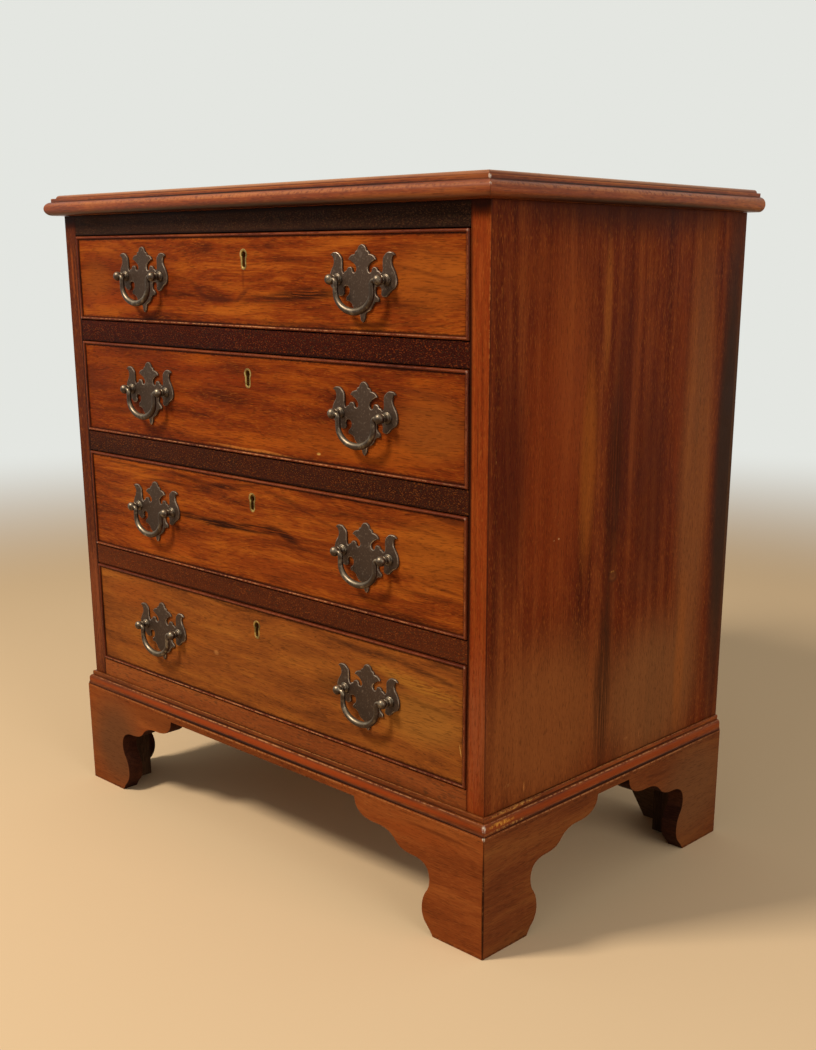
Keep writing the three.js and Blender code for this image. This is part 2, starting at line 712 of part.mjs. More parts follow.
openings.forEach((opening, i) => {
  const sizes = drawerSizes(opening);
  const name = `drawer_${i + 1}`;
  const backInner = drawerBack - drawerBackThickness;
  const bottomHalf = sideInner + grooveDepth - fitGap;
  const bottomFront = frontThickness - grooveDepth + fitGap;
  const backBoardHalf = sideInner - fitGap;
  place(`${name}_front`, drawerFront(sizes), finishes.drawerFront);
  place(`${name}_side_left`, drawerSide(sizes, -1), finishes.oak);
  place(`${name}_side_right`, drawerSide(sizes, 1), finishes.oak);
  place(`${name}_back`, box(-backBoardHalf, backBoardHalf, backInner, drawerBack,
    sizes.bottomOver + fitGap, sizes.sideTop - backDrop), finishes.oak);
  place(`${name}_bottom`, box(-bottomHalf, bottomHalf, bottomFront, drawerBack,
    sizes.bottomUnder, sizes.bottomOver), finishes.oak);
  place(`${name}_lock`, lockBody(sizes), finishes.brass);
  place(`${name}_bolt`, lockBolt(sizes), finishes.steel);
  for (const [side, sign] of [['left', -1], ['right', 1]]) {
    const centre = handleCentre(sizes, sign);
    place(`${name}_plate_${side}`, handlePlate().translate(centre.x, 0, centre.z), finishes.brass);
    place(`${name}_bail_${side}`, bail().translate(centre.x, -pivotReach, centre.z), finishes.brass);
  }
});

// Origin under the middle of the whole chest, on the floor
const frontmost = -Math.max(topFrontOverhang, postReach);
const rearmost = caseDepth + topBackOverhang;
chest.position.y = -(frontmost + rearmost) / 2;

export default chest;
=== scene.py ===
"""Bachelor's chest in mahogany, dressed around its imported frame.

The frame holds the joinery and everything that moves. This script gives each board its wood and polish,
the handles their patina, and the chest a pale floor and soft light. Sizes and places are in millimetres
until a mesh or a shader takes them in metres. X runs to the right, Y to the back and Z up from the floor.
"""

import json
import logging
import math
from dataclasses import dataclass, field
from enum import Enum
from functools import lru_cache
from typing import Sequence

import bpy
from mathutils import Euler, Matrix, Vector


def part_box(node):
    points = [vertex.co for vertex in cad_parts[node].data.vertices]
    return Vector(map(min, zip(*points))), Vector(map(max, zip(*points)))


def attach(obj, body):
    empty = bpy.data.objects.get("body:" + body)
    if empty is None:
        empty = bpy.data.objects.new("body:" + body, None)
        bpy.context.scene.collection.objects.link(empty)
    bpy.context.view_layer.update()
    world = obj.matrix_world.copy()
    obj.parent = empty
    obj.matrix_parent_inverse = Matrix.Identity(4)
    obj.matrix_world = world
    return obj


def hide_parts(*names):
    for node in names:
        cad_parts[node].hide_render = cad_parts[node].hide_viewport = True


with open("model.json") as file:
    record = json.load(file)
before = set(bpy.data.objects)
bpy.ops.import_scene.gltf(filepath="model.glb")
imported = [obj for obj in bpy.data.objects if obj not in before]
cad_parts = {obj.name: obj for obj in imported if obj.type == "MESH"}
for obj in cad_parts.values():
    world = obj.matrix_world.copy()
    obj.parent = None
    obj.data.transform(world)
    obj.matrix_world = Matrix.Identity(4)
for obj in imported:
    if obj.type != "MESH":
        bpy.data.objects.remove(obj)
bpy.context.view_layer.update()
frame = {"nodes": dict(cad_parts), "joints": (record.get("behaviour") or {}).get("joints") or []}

LOG = logging.getLogger("chest")
MM = 0.001
Colour = tuple[float, float, float, float]
Point = tuple[float, float]
Curve = tuple[Point, ...]
Tones = tuple[str, str, str]
Row = tuple[float | str, ...]
Tree = bpy.types.NodeTree
Socket = bpy.types.NodeSocket
Material = bpy.types.Material

# Sockets of the Mix node when it mixes colours
MIX_FACTOR, MIX_A, MIX_B, MIX_RESULT = 0, 6, 7, 2

# The index of refraction of shellac and waxed wood
POLISH_IOR = 1.5

# The left and right of every pair, with its sign on X
HANDS = (("left", -1), ("right", 1))


class Grain(Enum):
    """The way a board's grain runs, as the share of each axis that lies across it."""

    ALONG_X = (0, 1, 1)
    ALONG_Y = (1, 0, 1)
    ALONG_Z = (1, 1, 0)


class Face(Enum):
    """The face of the chest that a mark lies on, as the axis it is seen along."""

    FRONT = 1
    SIDE = 0
    TOP = 2


def box_mm(node: str) -> tuple[Vector, Vector]:
    """Gives a node's lowest and highest corner in millimetres."""
    low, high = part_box(node)
    return low / MM, high / MM


@dataclass(frozen=True)
class Chest:
    """Places that the sub-assemblies share, in millimetres, read from the frame."""

    front: float = box_mm("side_right")[0].y
    side: float = box_mm("side_right")[1].x
    case_top: float = box_mm("top")[0].z
    plinth_top: float = box_mm("plinth_front")[1].z


CHEST = Chest()


def linear(code: str) -> Colour:
    """Turns an sRGB hex colour to linear.

    Args:
        code: six hex digits.

    Returns:
        The linear red, green and blue with an alpha of one.
    """
    channels = [int(code[i:i + 2], 16) / 255 for i in (0, 2, 4)]
    curve = [c / 12.92 if c <= 0.04045 else ((c + 0.055) / 1.055) ** 2.4 for c in channels]
    return (*curve, 1.0)


def add_node(tree: Tree, kind: str, inputs: dict | None = None, out: int | str = 0,
             stops: Sequence[tuple[float, Colour]] = (), **settings: object) -> Socket | None:
    """Adds a shader node with its settings, values and links.

    Args:
        tree: the material's or world's node tree.
        kind: the node's type name without ShaderNode.
        inputs: a value or an output socket for each input, by name or number.
        out: the output that is wanted, by name or number.
        stops: the positions and colours of a colour ramp.
        settings: the node's own fields.

    Returns:
        The wanted output, or none where the node ends the tree.
    """
    node = tree.nodes.new(f"ShaderNode{kind}")
    for name, value in settings.items():
        setattr(node, name, value)
    for key, value in (inputs or {}).items():
        if isinstance(value, Socket):
            tree.links.new(value, node.inputs[key])
        else:
            node.inputs[key].default_value = value
    if stops:
        elements = node.color_ramp.elements
        while len(elements) < len(stops):
            elements.new(1.0)
        for element, (position, colour) in zip(elements, stops):
            element.position = position
            element.color = colour
    return node.outputs[out] if len(node.outputs) else None


def new_material(name: str) -> tuple[Material, Tree, Socket]:
    """Starts an empty material.

    Args:
        name: the material's name.

    Returns:
        The material, its node tree and the object coordinates in metres.
    """
    material = bpy.data.materials.new(name)
    material.use_nodes = True
    tree = material.node_tree
    tree.nodes.clear()
    return material, tree, add_node(tree, "TexCoord", out="Object")


def seen_directly(tree: Tree) -> Socket:
    """Gives 1 for rays from the camera, or that metal or polish mirrors, and 0 for all others.

    Args:
        tree: the material's or world's node tree.

    Returns:
        The 1 or 0.
    """
    shown = add_node(tree, "LightPath", out="Is Camera Ray")
    rays = shown.node.outputs
    for kind in ("Is Glossy Ray", "Is Transmission Ray"):
        shown = add_node(tree, "Math", {0: shown, 1: rays[kind]}, operation="MAXIMUM")
    return shown


@dataclass(frozen=True)
class Mark:
    """A soft-edged stain, streak, knot, scratch, rubbed edge, painted shade or painted highlight, as an
    ellipsoid in the wood.

    Args:
        centre: its middle on the chest.
        reach: how far it reaches from there along X, Y and Z.
        colour: what it turns the wood to.
        strength: how much of that colour it holds.
        tilt: degrees that it leans by, anticlockwise as its face is seen.
        broken: how far fine noise breaks it up.
        face: the face it lies on.
        edge: share of its reach that fades.
        wavy: whether it wanders with the wood's figure and is broken up by its fibres.
    """

    centre: Sequence[float]
    reach: Sequence[float]
    colour: str
    strength: float = 0.6
    tilt: float = 0.0
    broken: float = 0.0
    face: Face = Face.FRONT
    edge: float = 0.7
    wavy: bool = False


def paint_marks(tree: Tree, colour: Socket, place: Socket, grit: Socket, marks: Sequence[Mark]) -> Socket:
    """Paints marks over a colour.

    Args:
        tree: the material's node tree.
        colour: the colour under the marks.
        place: coordinates in metres.
        grit: fine noise that breaks up rubbed marks.
        marks: the marks, the lowest first.

    Returns:
        The colour with the marks.
    """
    for mark in marks:
        turn = [0.0, 0.0, 0.0]
        turn[mark.face.value] = math.radians(mark.tilt) * (-1 if mark.face is Face.FRONT else 1)
        local = add_node(tree, "Mapping", {
            "Vector": place, "Location": [v * MM for v in mark.centre], "Rotation": turn,
            "Scale": [v * MM for v in mark.reach]}, vector_type="TEXTURE")
        away = add_node(tree, "VectorMath", {0: local}, "Value", operation="LENGTH")
        mask = add_node(tree, "MapRange", {
            "Value": away, "From Min": 1.0, "From Max": 1.0 - mark.edge, "To Max": mark.strength},
            interpolation_type="SMOOTHSTEP")
        if mark.broken:
            # The more a mark is broken up, the higher the noise has to be where it still shows
            shift = 0.25 * mark.broken
            worn = add_node(tree, "MapRange", {
                "Value": grit, "From Min": 0.35 + shift, "From Max": 0.5 + shift})
            mask = add_node(tree, "Math", {0: mask, 1: worn}, operation="MULTIPLY")
        colour = add_node(tree, "Mix", {
            MIX_FACTOR: mask, MIX_A: colour, MIX_B: linear(mark.colour)}, MIX_RESULT, data_type="RGBA")
    return colour


def line_mark(start: Sequence[float], end: Sequence[float], width: float, colour: str, strength: float,
              broken: float = 0.0) -> Mark:
    """Makes a mark along an edge that runs along one axis, and keeps its width to both ends.

    Args:
        start: one end of the edge.
        end: its other end.
        width: how far the mark reaches to each side.
        colour: what shows there.
        strength: how much of it shows.
        broken: how far noise breaks the line up.

    Returns:
        The mark.
    """
    # Reaching past both ends, because an ellipsoid grows thin towards its own ends
    past = 0.8
    middle = tuple((a + b) / 2 for a, b in zip(start, end))
    reach = tuple(max(abs(b - a) * past, width) for a, b in zip(start, end))
    return Mark(middle, reach, colour, strength, broken=broken)


@dataclass(frozen=True)
class Wood:
    """A board's wood and its polish.

    The eye reads mahogany from three scales at once: broad bands of light and dark, the contour lines of
    the growth rings that wander along them, and short dark pores. The polish is old shellac and wax: it
    deepens the colour and leaves a soft sheen, stronger where hands and cloths have kept it bright.

    Args:
        name: the finish's name.
        tones: the wood's dark, middle and light colour.
        grain: the way that the grain runs.
        band: width of the broad bands.
        band_length: length of a band in widths.
        ring: spacing of the growth lines.
        fibre: width of the fibre streaks, coarser than the real 0.2 mm so that they show.
        fibre_length: length of a streak in widths.
        sway: how far the grain wanders off its straight way.
        pore: width of a pore, coarser than the real 0.3 mm so that it shows.
        pore_length: length of a pore in widths.
        pores: how much the pores show, from 0 to 1.
        hole_shade: their colour's share of the dark tone.
        flecks: how bright the fibres are that catch the light, from 0 to 1.
        fleck_colour: their colour.
        contrast: how strongly bands and lines show, from 0 to 1.
        roughness: the polish's roughness where it is whole.
        specular: the wood's specular level, far under the usual 0.5: waxed pores scatter the light, and the
            old finish mirrors the pale studio only faintly.
        coat: how much clear polish lies over the wood.
        seed: shift of the pattern in metres, so that no two boards are cut alike.
        marks: marks on the board.
        front_tones: the colours near the front of the board, where they differ.
        front_depth: how deep these reach.
        border: half width, half height and middle height of a drawer front, where dirt and painted shade lie.
    """

    name: str
    tones: Tones
    grain: Grain = Grain.ALONG_X
    band: float = 26.0
    band_length: float = 9.0
    ring: float = 6.0
    fibre: float = 1.1
    fibre_length: float = 70.0
    sway: float = 14.0
    pore: float = 0.9
    pore_length: float = 14.0
    pores: float = 0.45
    hole_shade: float = 0.45
    flecks: float = 0.3
    fleck_colour: str = "a8601f"
    contrast: float = 0.9
    roughness: float = 0.42
    specular: float = 0.03
    coat: float = 0.0
    seed: float = 0.0
    marks: tuple[Mark, ...] = ()
    front_tones: Tones | None = None
    front_depth: float = 0.6
    border: tuple[float, float, float] | None = None

    def stretched(self, tree: Tree, place: Socket, across: float, along: float, detail: float = 1.0,
                  rough: float = 0.5, shift: float = 0.0) -> Socket:
        """Makes noise that is stretched along the grain.

        Args:
            tree: the material's node tree.
            place: coordinates in metres.
            across: size of a blotch across the grain.
            along: size of a blotch along the grain.
            detail: octaves of finer noise.
            rough: strength of each finer octave.
            shift: moves the noise, so that two of one size differ.

        Returns:
            The noise, about 0.2 to 0.8.
        """
        scale = [1 / ((across if crosses else along) * MM) for crosses in self.grain.value]
        start = [self.seed * step + shift for step in (3.1, 1.7, 2.3)]
        moved = add_node(tree, "Mapping", {"Vector": place, "Scale": scale, "Location": start})
        return add_node(tree, "TexNoise", {
            "Vector": moved, "Scale": 1.0, "Detail": detail, "Roughness": rough})

    def flowing(self, tree: Tree, place: Socket) -> Socket:
        """Bends straight coordinates, so that bands, lines, pores and marks all sway together.

        Args:
            tree: the material's node tree.
            place: coordinates in metres.

        Returns:
            The coordinates, pushed about across the grain.
        """
        slow = self.stretched(tree, place, 60.0, 240.0, 3.0, 0.42, 4.1)
        sway = add_node(tree, "MapRange", {"Value": slow, "To Min": -1.0, "To Max": 1.0})
        push = [self.sway * MM * crosses for crosses in self.grain.value]
        return add_node(tree, "VectorMath", {0: sway, 1: push, 2: place}, operation="MULTIPLY_ADD")

    def figure(self, tree: Tree, place: Socket, flow: Socket, fibre: Socket, patch: Socket) -> Socket:
        """Colours the bands and growth lines.

        Args:
            tree: the material's node tree.
            place: coordinates in metres.
            flow: the swaying coordinates.
            fibre: the fibre streaks.
            patch: slow noise without a direction.

        Returns:
            The wood's colour before its marks and pores.
        """
        band = self.stretched(tree, flow, self.band, self.band * self.band_length, 2.0)
        contour = self.stretched(tree, flow, self.ring * 8, self.ring * 50, 1.5, 0.4)

        # Growth lines are the contour lines of a slow noise: a sine turns its height to narrow ridges
        lines = 20
        turns = add_node(tree, "Math", {0: contour, 1: 2 * math.pi * lines}, operation="MULTIPLY")
        wave = add_node(tree, "Math", {0: turns}, operation="SINE")
        ridge = add_node(tree, "MapRange", {"Value": wave, "From Min": -0.4, "From Max": 1.0})
        level: Socket | float = -0.5
        for part, weight in ((band, 1.2), (fibre, 0.6), (patch, 0.3), (ridge, -0.08)):
            level = add_node(tree, "Math", {0: part, 1: weight, 2: level}, operation="MULTIPLY_ADD")
        reach = 0.36 / self.contrast
        spread = add_node(tree, "MapRange", {
            "Value": level, "From Min": 0.5 - reach, "From Max": 0.5 + reach})
        ramps = [add_node(tree, "ValToRGB", {"Fac": spread}, stops=tuple(
            zip((0.1, 0.5, 0.92), map(linear, tones)))) for tones in (self.tones, self.front_tones) if tones]
        if not self.front_tones:
            return ramps[0]
        blur = 0.2 * MM
        edge = (CHEST.front + self.front_depth) * MM
        depth = add_node(tree, "SeparateXYZ", {0: place}, "Y")
        near = add_node(tree, "MapRange", {"Value": depth, "From Min": edge + blur, "From Max": edge - blur})
        return add_node(tree, "Mix", {MIX_FACTOR: near, MIX_A: ramps[0], MIX_B: ramps[1]},
                        MIX_RESULT, data_type="RGBA")

    def grimed_and_shaded(self, tree: Tree, place: Socket, colour: Socket, grit: Socket) -> Socket:
        """Darkens a drawer front's border by the cockbead: old dirt and wax, and painted shade of the proud
        bead.

        Args:
            tree: the material's node tree.
            place: coordinates in metres.
            colour: the colour so far.
            grit: fine noise that makes the dirt and painted shade uneven.

        Returns:
            The darkened colour.
        """
        half_width, half_height, middle = (v * MM for v in self.border)
        full, least, most = 3.2 * MM, 4.4 * MM, 7.5 * MM
        inset = []
        for axis, centre, half in (("X", 0.0, half_width), ("Z", middle, half_height)):
            along = add_node(tree, "SeparateXYZ", {0: place}, axis)
            off = add_node(tree, "Math", {0: along, 1: centre}, operation="SUBTRACT")
            size = add_node(tree, "Math", {0: off}, operation="ABSOLUTE")
            inset.append(add_node(tree, "Math", {0: half, 1: size}, operation="SUBTRACT"))
        near = add_node(tree, "Math", {0: inset[0], 1: inset[1]}, operation="MINIMUM")
        reach = add_node(tree, "MapRange", {
            "Value": grit, "From Min": 0.3, "From Max": 0.7, "To Min": least, "To Max": most})
        # Dirt and painted shade are full at the cockbead's inner edge and fade out 4.4 to 7.5 mm in
        dirt_and_shade = add_node(tree, "MapRange", {
            "Value": near, "From Min": reach, "From Max": full, "To Max": 0.85},
            interpolation_type="SMOOTHSTEP")
        return add_node(tree, "Mix", {MIX_FACTOR: dirt_and_shade, MIX_A: colour, MIX_B: linear("210b05")},
                        MIX_RESULT, data_type="RGBA")

    def build(self) -> Material:
        """Builds the material.

        Returns:
            The finished material.
        """
        material, tree, place = new_material(self.name)
        flow = self.flowing(tree, place)
        fibre = self.stretched(tree, flow, self.fibre, self.fibre * self.fibre_length, 3.0, 0.62)
        patch, grit = (add_node(tree, "TexNoise", {
            "Vector": place, "Scale": 1 / (size * MM), "Detail": 4.0, "Roughness": rough})
            for size, rough in ((55, 0.6), (4.5, 0.7)))
        colour = self.figure(tree, place, flow, fibre, patch)

        # Fibres that catch the light, the marks that wander with the grain, then the pores over both
        narrow = self.pore * 0.8
        bright = self.stretched(tree, flow, narrow, narrow * self.pore_length, shift=7.3)
        lit = add_node(tree, "MapRange", {
            "Value": bright, "From Min": 0.58, "From Max": 0.67, "To Max": self.flecks})
        colour = add_node(tree, "Mix", {
            MIX_FACTOR: lit, MIX_A: colour, MIX_B: linear(self.fleck_colour)}, MIX_RESULT, data_type="RGBA")
        colour = paint_marks(tree, colour, flow, fibre, [mark for mark in self.marks if mark.wavy])
        pore = self.stretched(tree, flow, self.pore, self.pore * self.pore_length)
        hollow = add_node(tree, "MapRange", {
            "Value": pore, "From Min": 0.57, "From Max": 0.65, "To Max": self.pores})
        hole = "".join(f"{int(int(self.tones[0][i:i + 2], 16) * self.hole_shade):02x}" for i in (0, 2, 4))
        colour = add_node(tree, "Mix", {
            MIX_FACTOR: hollow, MIX_A: colour, MIX_B: linear(hole)}, MIX_RESULT, data_type="RGBA")
        if self.border:
            colour = self.grimed_and_shaded(tree, place, colour, grit)
        colour = paint_marks(tree, colour, place, grit, [mark for mark in self.marks if not mark.wavy])

        # Pores sink, fibres and slow waves rise, and the polish is duller in patches
        dull = add_node(tree, "MapRange", {
            "Value": patch, "From Min": 0.3, "From Max": 0.7,
            "To Min": self.roughness - 0.06, "To Max": self.roughness + 0.12})
        relief: Socket | float = 0.0
        for part, weight in ((hollow, -0.5), (fibre, 0.3), (patch, 2.0)):
            relief = add_node(tree, "Math", {0: part, 1: weight, 2: relief}, operation="MULTIPLY_ADD")
        bump = add_node(tree, "Bump", {"Height": relief, "Strength": 0.3, "Distance": 0.3 * MM})
        soft = add_node(tree, "Bump", {"Height": patch, "Strength": 0.2, "Distance": 0.8 * MM})

        # Shellac over mahogany: the coat keeps a soft sheen over the duller wood
        surface = add_node(tree, "BsdfPrincipled", {
            "Base Color": colour, "Roughness": dull, "Normal": bump, "IOR": POLISH_IOR,
            "Specular IOR Level": self.specular, "Coat Weight": self.coat, "Coat Roughness": 0.2,
            "Coat IOR": POLISH_IOR, "Coat Normal": soft})
        add_node(tree, "OutputMaterial", {"Surface": surface})
        return material


@dataclass(frozen=True)
class PatinaBrass:
    """Cast metal that has gone brown and is rubbed bright where it is touched.

    Patina is an oxide, so it is dark and half dull. On rims and in rubbed patches the metal shows through it,
    pale and smoother; sides that face up get a painted highlight, and old polish sits in the pits as a grey
    bloom.

    Args:
        name: the finish's name.
        patina: colour of the oxide.
        bare: colour of the rubbed metal.
        bloom: colour of the dried polish.
        rubbed: share of the surface that is rubbed bright, from 0 to 1.
        top_highlight: strength of the painted highlight on sides that face up, from 0 to 1.
        roughness: roughness of the patina.
    """

    name: str
    patina: str
    bare: str
    bloom: str
    rubbed: float = 0.3
    top_highlight: float = 0.3
    roughness: float = 0.5

    def build(self) -> Material:
        """Builds the material.

        Returns:
            The finished material.
        """
        material, tree, place = new_material(self.name)

        # Clouds of wear, shallow casting pits, and the specks where polish has dried
        cloud, pit, speck = (add_node(tree, "TexNoise", {
            "Vector": place, "Scale": 1 / (size * MM), "Detail": detail, "Roughness": rough})
            for size, detail, rough in ((9.0, 5.0, 0.62), (0.9, 2.0, 0.5), (2.4, 5.0, 0.72)))
        bloom = add_node(tree, "MapRange", {"Value": speck, "From Min": 0.56, "From Max": 0.7, "To Max": 0.6})
        dusty = add_node(tree, "Mix", {
            MIX_FACTOR: bloom, MIX_A: linear(self.patina), MIX_B: linear(self.bloom)},
            MIX_RESULT, data_type="RGBA")

        # Wear spreads out from the cloud's peaks; all that faces up is lightened as a painted highlight from
        # above
        lower = 0.45 * self.rubbed
        mask = add_node(tree, "MapRange", {
            "Value": cloud, "From Min": 0.64 - lower, "From Max": 0.85 - lower, "To Max": 0.2 + self.rubbed})
        normal = add_node(tree, "NewGeometry", out="Normal")
        up = add_node(tree, "SeparateXYZ", {0: normal}, "Z")
        top_light = add_node(tree, "MapRange", {
            "Value": up, "From Min": 0.1, "From Max": 0.95, "To Max": self.top_highlight})
        wear_and_highlight = add_node(tree, "Math", {0: mask, 1: top_light}, operation="ADD", use_clamp=True)
        colour = add_node(tree, "Mix", {
            MIX_FACTOR: wear_and_highlight, MIX_A: dusty, MIX_B: linear(self.bare)}, MIX_RESULT, data_type="RGBA")
        rough = add_node(tree, "MapRange", {
            "Value": wear_and_highlight, "To Min": self.roughness + 0.06, "To Max": self.roughness - 0.14})
        pits = add_node(tree, "Bump", {"Height": pit, "Strength": 0.25, "Distance": 0.12 * MM})
        waves = add_node(tree, "Bump", {
            "Height": cloud, "Strength": 0.3, "Distance": 0.4 * MM, "Normal": pits})

        # The film of oxide and wax takes away a little of the metal's mirroring
        surface = add_node(tree, "BsdfPrincipled", {
            "Base Color": colour, "Roughness": rough, "Metallic": 0.85, "Normal": waves})
        add_node(tree, "OutputMaterial", {"Surface": surface})
        return material


@dataclass(frozen=True)
class FloorPaper:
    """Matt pale studio paper that fades into the white around it.

    Args:
        name: the finish's name.
        paper: colour of the floor.
        surround: colour of the space around it.
        near: metres from the chest where the fade starts.
        far: metres where it ends.
    """

    name: str = "matt_floor_paper"
    paper: str = "dcc19b"
    surround: str = "e4e6e1"
    near: float = 1.3
    far: float = 3.4

    def build(self) -> Material:
        """Builds the material.

        Returns:
            The finished material.
        """
        material, tree, place = new_material(self.name)
        away = add_node(tree, "VectorMath", {0: place}, "Value", operation="LENGTH")
        fade = add_node(tree, "MapRange", {
            "Value": away, "From Min": self.near, "From Max": self.far}, interpolation_type="SMOOTHSTEP")
        factor = add_node(tree, "Math", {0: fade, 1: seen_directly(tree)}, operation="MULTIPLY")
        paper = add_node(tree, "BsdfDiffuse", {"Color": linear(self.paper)})
        around = add_node(tree, "Emission", {"Color": linear(self.surround)})
        surface = add_node(tree, "MixShader", {0: factor, 1: paper, 2: around})
        add_node(tree, "OutputMaterial", {"Surface": surface})
        return material


# Oak linings are sawn and never polished: the eye gets a dry, chalky board with open pores and no sheen
OAK_TONES = ("7a5a38", "a98658", "c4a474")
DRY: dict[str, float | str] = {"roughness": 0.7, "fleck_colour": "c4a474", "contrast": 0.7}
OAK = Wood("sawn_oak_lining", OAK_TONES, Grain.ALONG_Y, seed=8.0, **DRY)
OAK_ACROSS = Wood("sawn_oak_across", OAK_TONES, Grain.ALONG_X, band=34, seed=9.0, **DRY)

# The back is oak too, of wider and coarser boards that a century has browned
OAK_BACK = Wood("sawn_oak_back", ("6a4e32", "96744c", "b08e62"), Grain.ALONG_Z, band=60, ring=9, seed=11.0,
                **DRY)

# Under the chest the wood is unpolished, dull and dusty; its near-black is partly painted shade of the space
# under it
BLOCK_DUST_AND_SHADE = Wood("pine_block_dust_and_shade", ("20140d", "38261a", "4e3624"), Grain.ALONG_Z, seed=18.0,
                   roughness=0.65, fleck_colour="5c4430")
BOARD_DUST_AND_SHADE = Wood("oak_board_dust_and_shade", ("33241a", "503a28", "664c34"), Grain.ALONG_X, seed=17.0,
                   roughness=0.68, fleck_colour="6e5438")

# Sawn mahogany edges hold dirt and wax; their near-black is partly painted shade of the feet's hollows
CUT_EDGE = Wood("cut_mahogany_grime_and_shade", ("1a0c07", "301810", "462617"), Grain.ALONG_X, seed=19.0,
                roughness=0.5, fleck_colour="5a3420")

# Steel screws are turned and left bare: grey with a brown film
STEEL = PatinaBrass("turned_dull_steel", "3d3b39", "85827c", "5a5149", 0.35, roughness=0.48)

# Cast plates were bronzed brown: they stay matt, with specks of dried polish in the pits
PLATE_BRASS = PatinaBrass("cast_bronzed_brass", "47372c", "a59484", "8a7868", 0.08, 0.2, 0.56)

# Filed rims are rubbed by cloth and fingers, and carry a painted highlight: a thin paler line runs round each
# outline
RIM_BRASS = PatinaBrass("filed_brass_rim", "56463a", "bfad98", "83766a", 0.4, 0.4, 0.46)

# Bails and posts are handled most: smoother, rubbed pale in patches, with a painted highlight on their upper
# sides
BAIL_BRASS = PatinaBrass("turned_rubbed_brass", "403329", "baa88c", "75685a", 0.25, 0.5, 0.4)

# Brass let in flush is polished with the wood, so the thread round a keyhole stays golden
THREAD_BRASS = PatinaBrass("inlaid_brass_thread", "6e5628", "d6b468", "907848", 0.5, roughness=0.42)

# Lock plates were filed flat and shut away from hands: yellow, with a light film
LOCK_BRASS = PatinaBrass("filed_yellow_brass", "6a5430", "b89a5c", "75664a", 0.5, roughness=0.42)


def bezier(controls: Sequence[Point], steps: int) -> list[Point]:
    """Gives points along a Bezier curve of any degree, without its first.

    Args:
        controls: the curve's start, controls and end.
        steps: how many points.

    Returns:
        The points.
    """
    points = []
    for i in range(1, steps + 1):
        t = i / steps
        level = list(controls)
        while len(level) > 1:
            level = [tuple(a + (b - a) * t for a, b in zip(p, q)) for p, q in zip(level, level[1:])]
        points.append(level[0])
    return points


def trace(start: Point, rows: Sequence[Sequence[Point]], steps: int) -> list[Point]:
    """Follows a path of lines and curves.

    Args:
        start: its first point.
        rows: for each stretch its controls and, last, its end.
        steps: points to a curve; a line has one.

    Returns:
        All points of the path.
    """
    path = [tuple(start)]
    for row in rows:
        path += bezier([path[-1], *row], steps if len(row) > 1 else 1)
    return path


def arc(centre: Point, radii: Point, first: float, last: float, steps: int) -> list[Point]:
    """Gives points along an elliptical arc.

    Args:
        centre: the ellipse's middle.
        radii: its two radii.
        first: the angle in degrees that it starts at.
        last: the angle that it ends at.
        steps: how many segments.

    Returns:
        The points, with both ends.
    """
    angles = [math.radians(first + (last - first) * i / steps) for i in range(steps + 1)]
    return [(centre[0] + radii[0] * math.cos(a), centre[1] + radii[1] * math.sin(a)) for a in angles]


def add_piece(name: str, rings: Sequence[Sequence[Sequence[float]]], body: str,
              material: Material, closed: bool = False, smooth: float = 32.0, ease: float = 0.0,
              stands_for: Sequence[str] = ()) -> bpy.types.Object:
    """Makes one piece as a skin over like rings of points, and lets it ride on its body.

    Args:
        name: the piece's name.
        rings: the rings in millimetres, each with as many points.
        body: the body that carries it.
        material: its finish.
        closed: whether the last ring joins the first; otherwise both ends are filled.
        smooth: edges sharper than this many degrees stay sharp.
        ease: radius of the eased edges.
        stands_for: the nodes that it replaces.

    Returns:
        The piece.
    """
    count = len(rings[0])
    points = [tuple(v * MM for v in point) for ring in rings for point in ring]
    pairs = list(zip(range(len(rings)), range(1, len(rings))))
    if closed:
        pairs.append((len(rings) - 1, 0))
    faces = []
    for a, b in pairs:
        for i in range(count):
            j = (i + 1) % count
            faces.append((a * count + i, a * count + j, b * count + j, b * count + i))
    walls = len(faces)
    if not closed:
        faces.append(tuple(reversed(range(count))))
        faces.append(tuple(range((len(rings) - 1) * count, len(rings) * count)))
    mesh = bpy.data.meshes.new(name)
    mesh.from_pydata(points, [], faces)
    mesh.update()
    mesh.set_sharp_from_angle(angle=math.radians(smooth))
    mesh.polygons.foreach_set("use_smooth", [i < walls for i in range(len(faces))])
    mesh.materials.append(material)
    piece = bpy.data.objects.new(name, mesh)
    bpy.context.scene.collection.objects.link(piece)
    if ease:
        bevel = piece.modifiers.new("eased_edges", "BEVEL")
        bevel.width = ease * MM
        bevel.segments = 2
        bevel.limit_method = "ANGLE"
        bevel.angle_limit = math.radians(smooth)
        bevel.harden_normals = True
    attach(piece, body)
    if stands_for:
        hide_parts(*stands_for)
    LOG.info("%s rides on %s", name, body)
    return piece


def second_finish(piece: bpy.types.Object, material: Material, faces: Sequence[int]) -> None:
    """Gives some faces of a piece another finish.

    Args:
        piece: the piece.
        material: the other finish.
        faces: the numbers of its faces.
    """
    piece.data.materials.append(material)
    for index in faces:
        piece.data.polygons[index].material_index = 1


def lathe(profile: Sequence[Point], foot: Vector, sides: int, backward: bool = False) -> list[list[Vector]]:
    """Turns a profile about an axis that runs to the front, or to the back.

    Args:
        profile: the radius and the distance beyond the foot for each ring.
        foot: a point on the axis.
        sides: points to a ring.
        backward: whether the axis runs to the back.

    Returns:
        The rings.
    """
    way = -1 if backward else 1
    angles = [way * 2 * math.pi * i / sides for i in range(sides)]
    return [[foot + Vector((r * math.cos(a), -way * h, r * math.sin(a))) for a in angles] for r, h in profile]


def box_rings(low: Sequence[float], high: Sequence[float]) -> list[list[tuple[float, float, float]]]:
    """Gives the two end rings of a box between two corners."""
    ring = [(low[0], low[1]), (high[0], low[1]), (high[0], high[1]), (low[0], high[1])]
    return [[(x, y, z) for x, y in ring] for z in (low[2], high[2])]


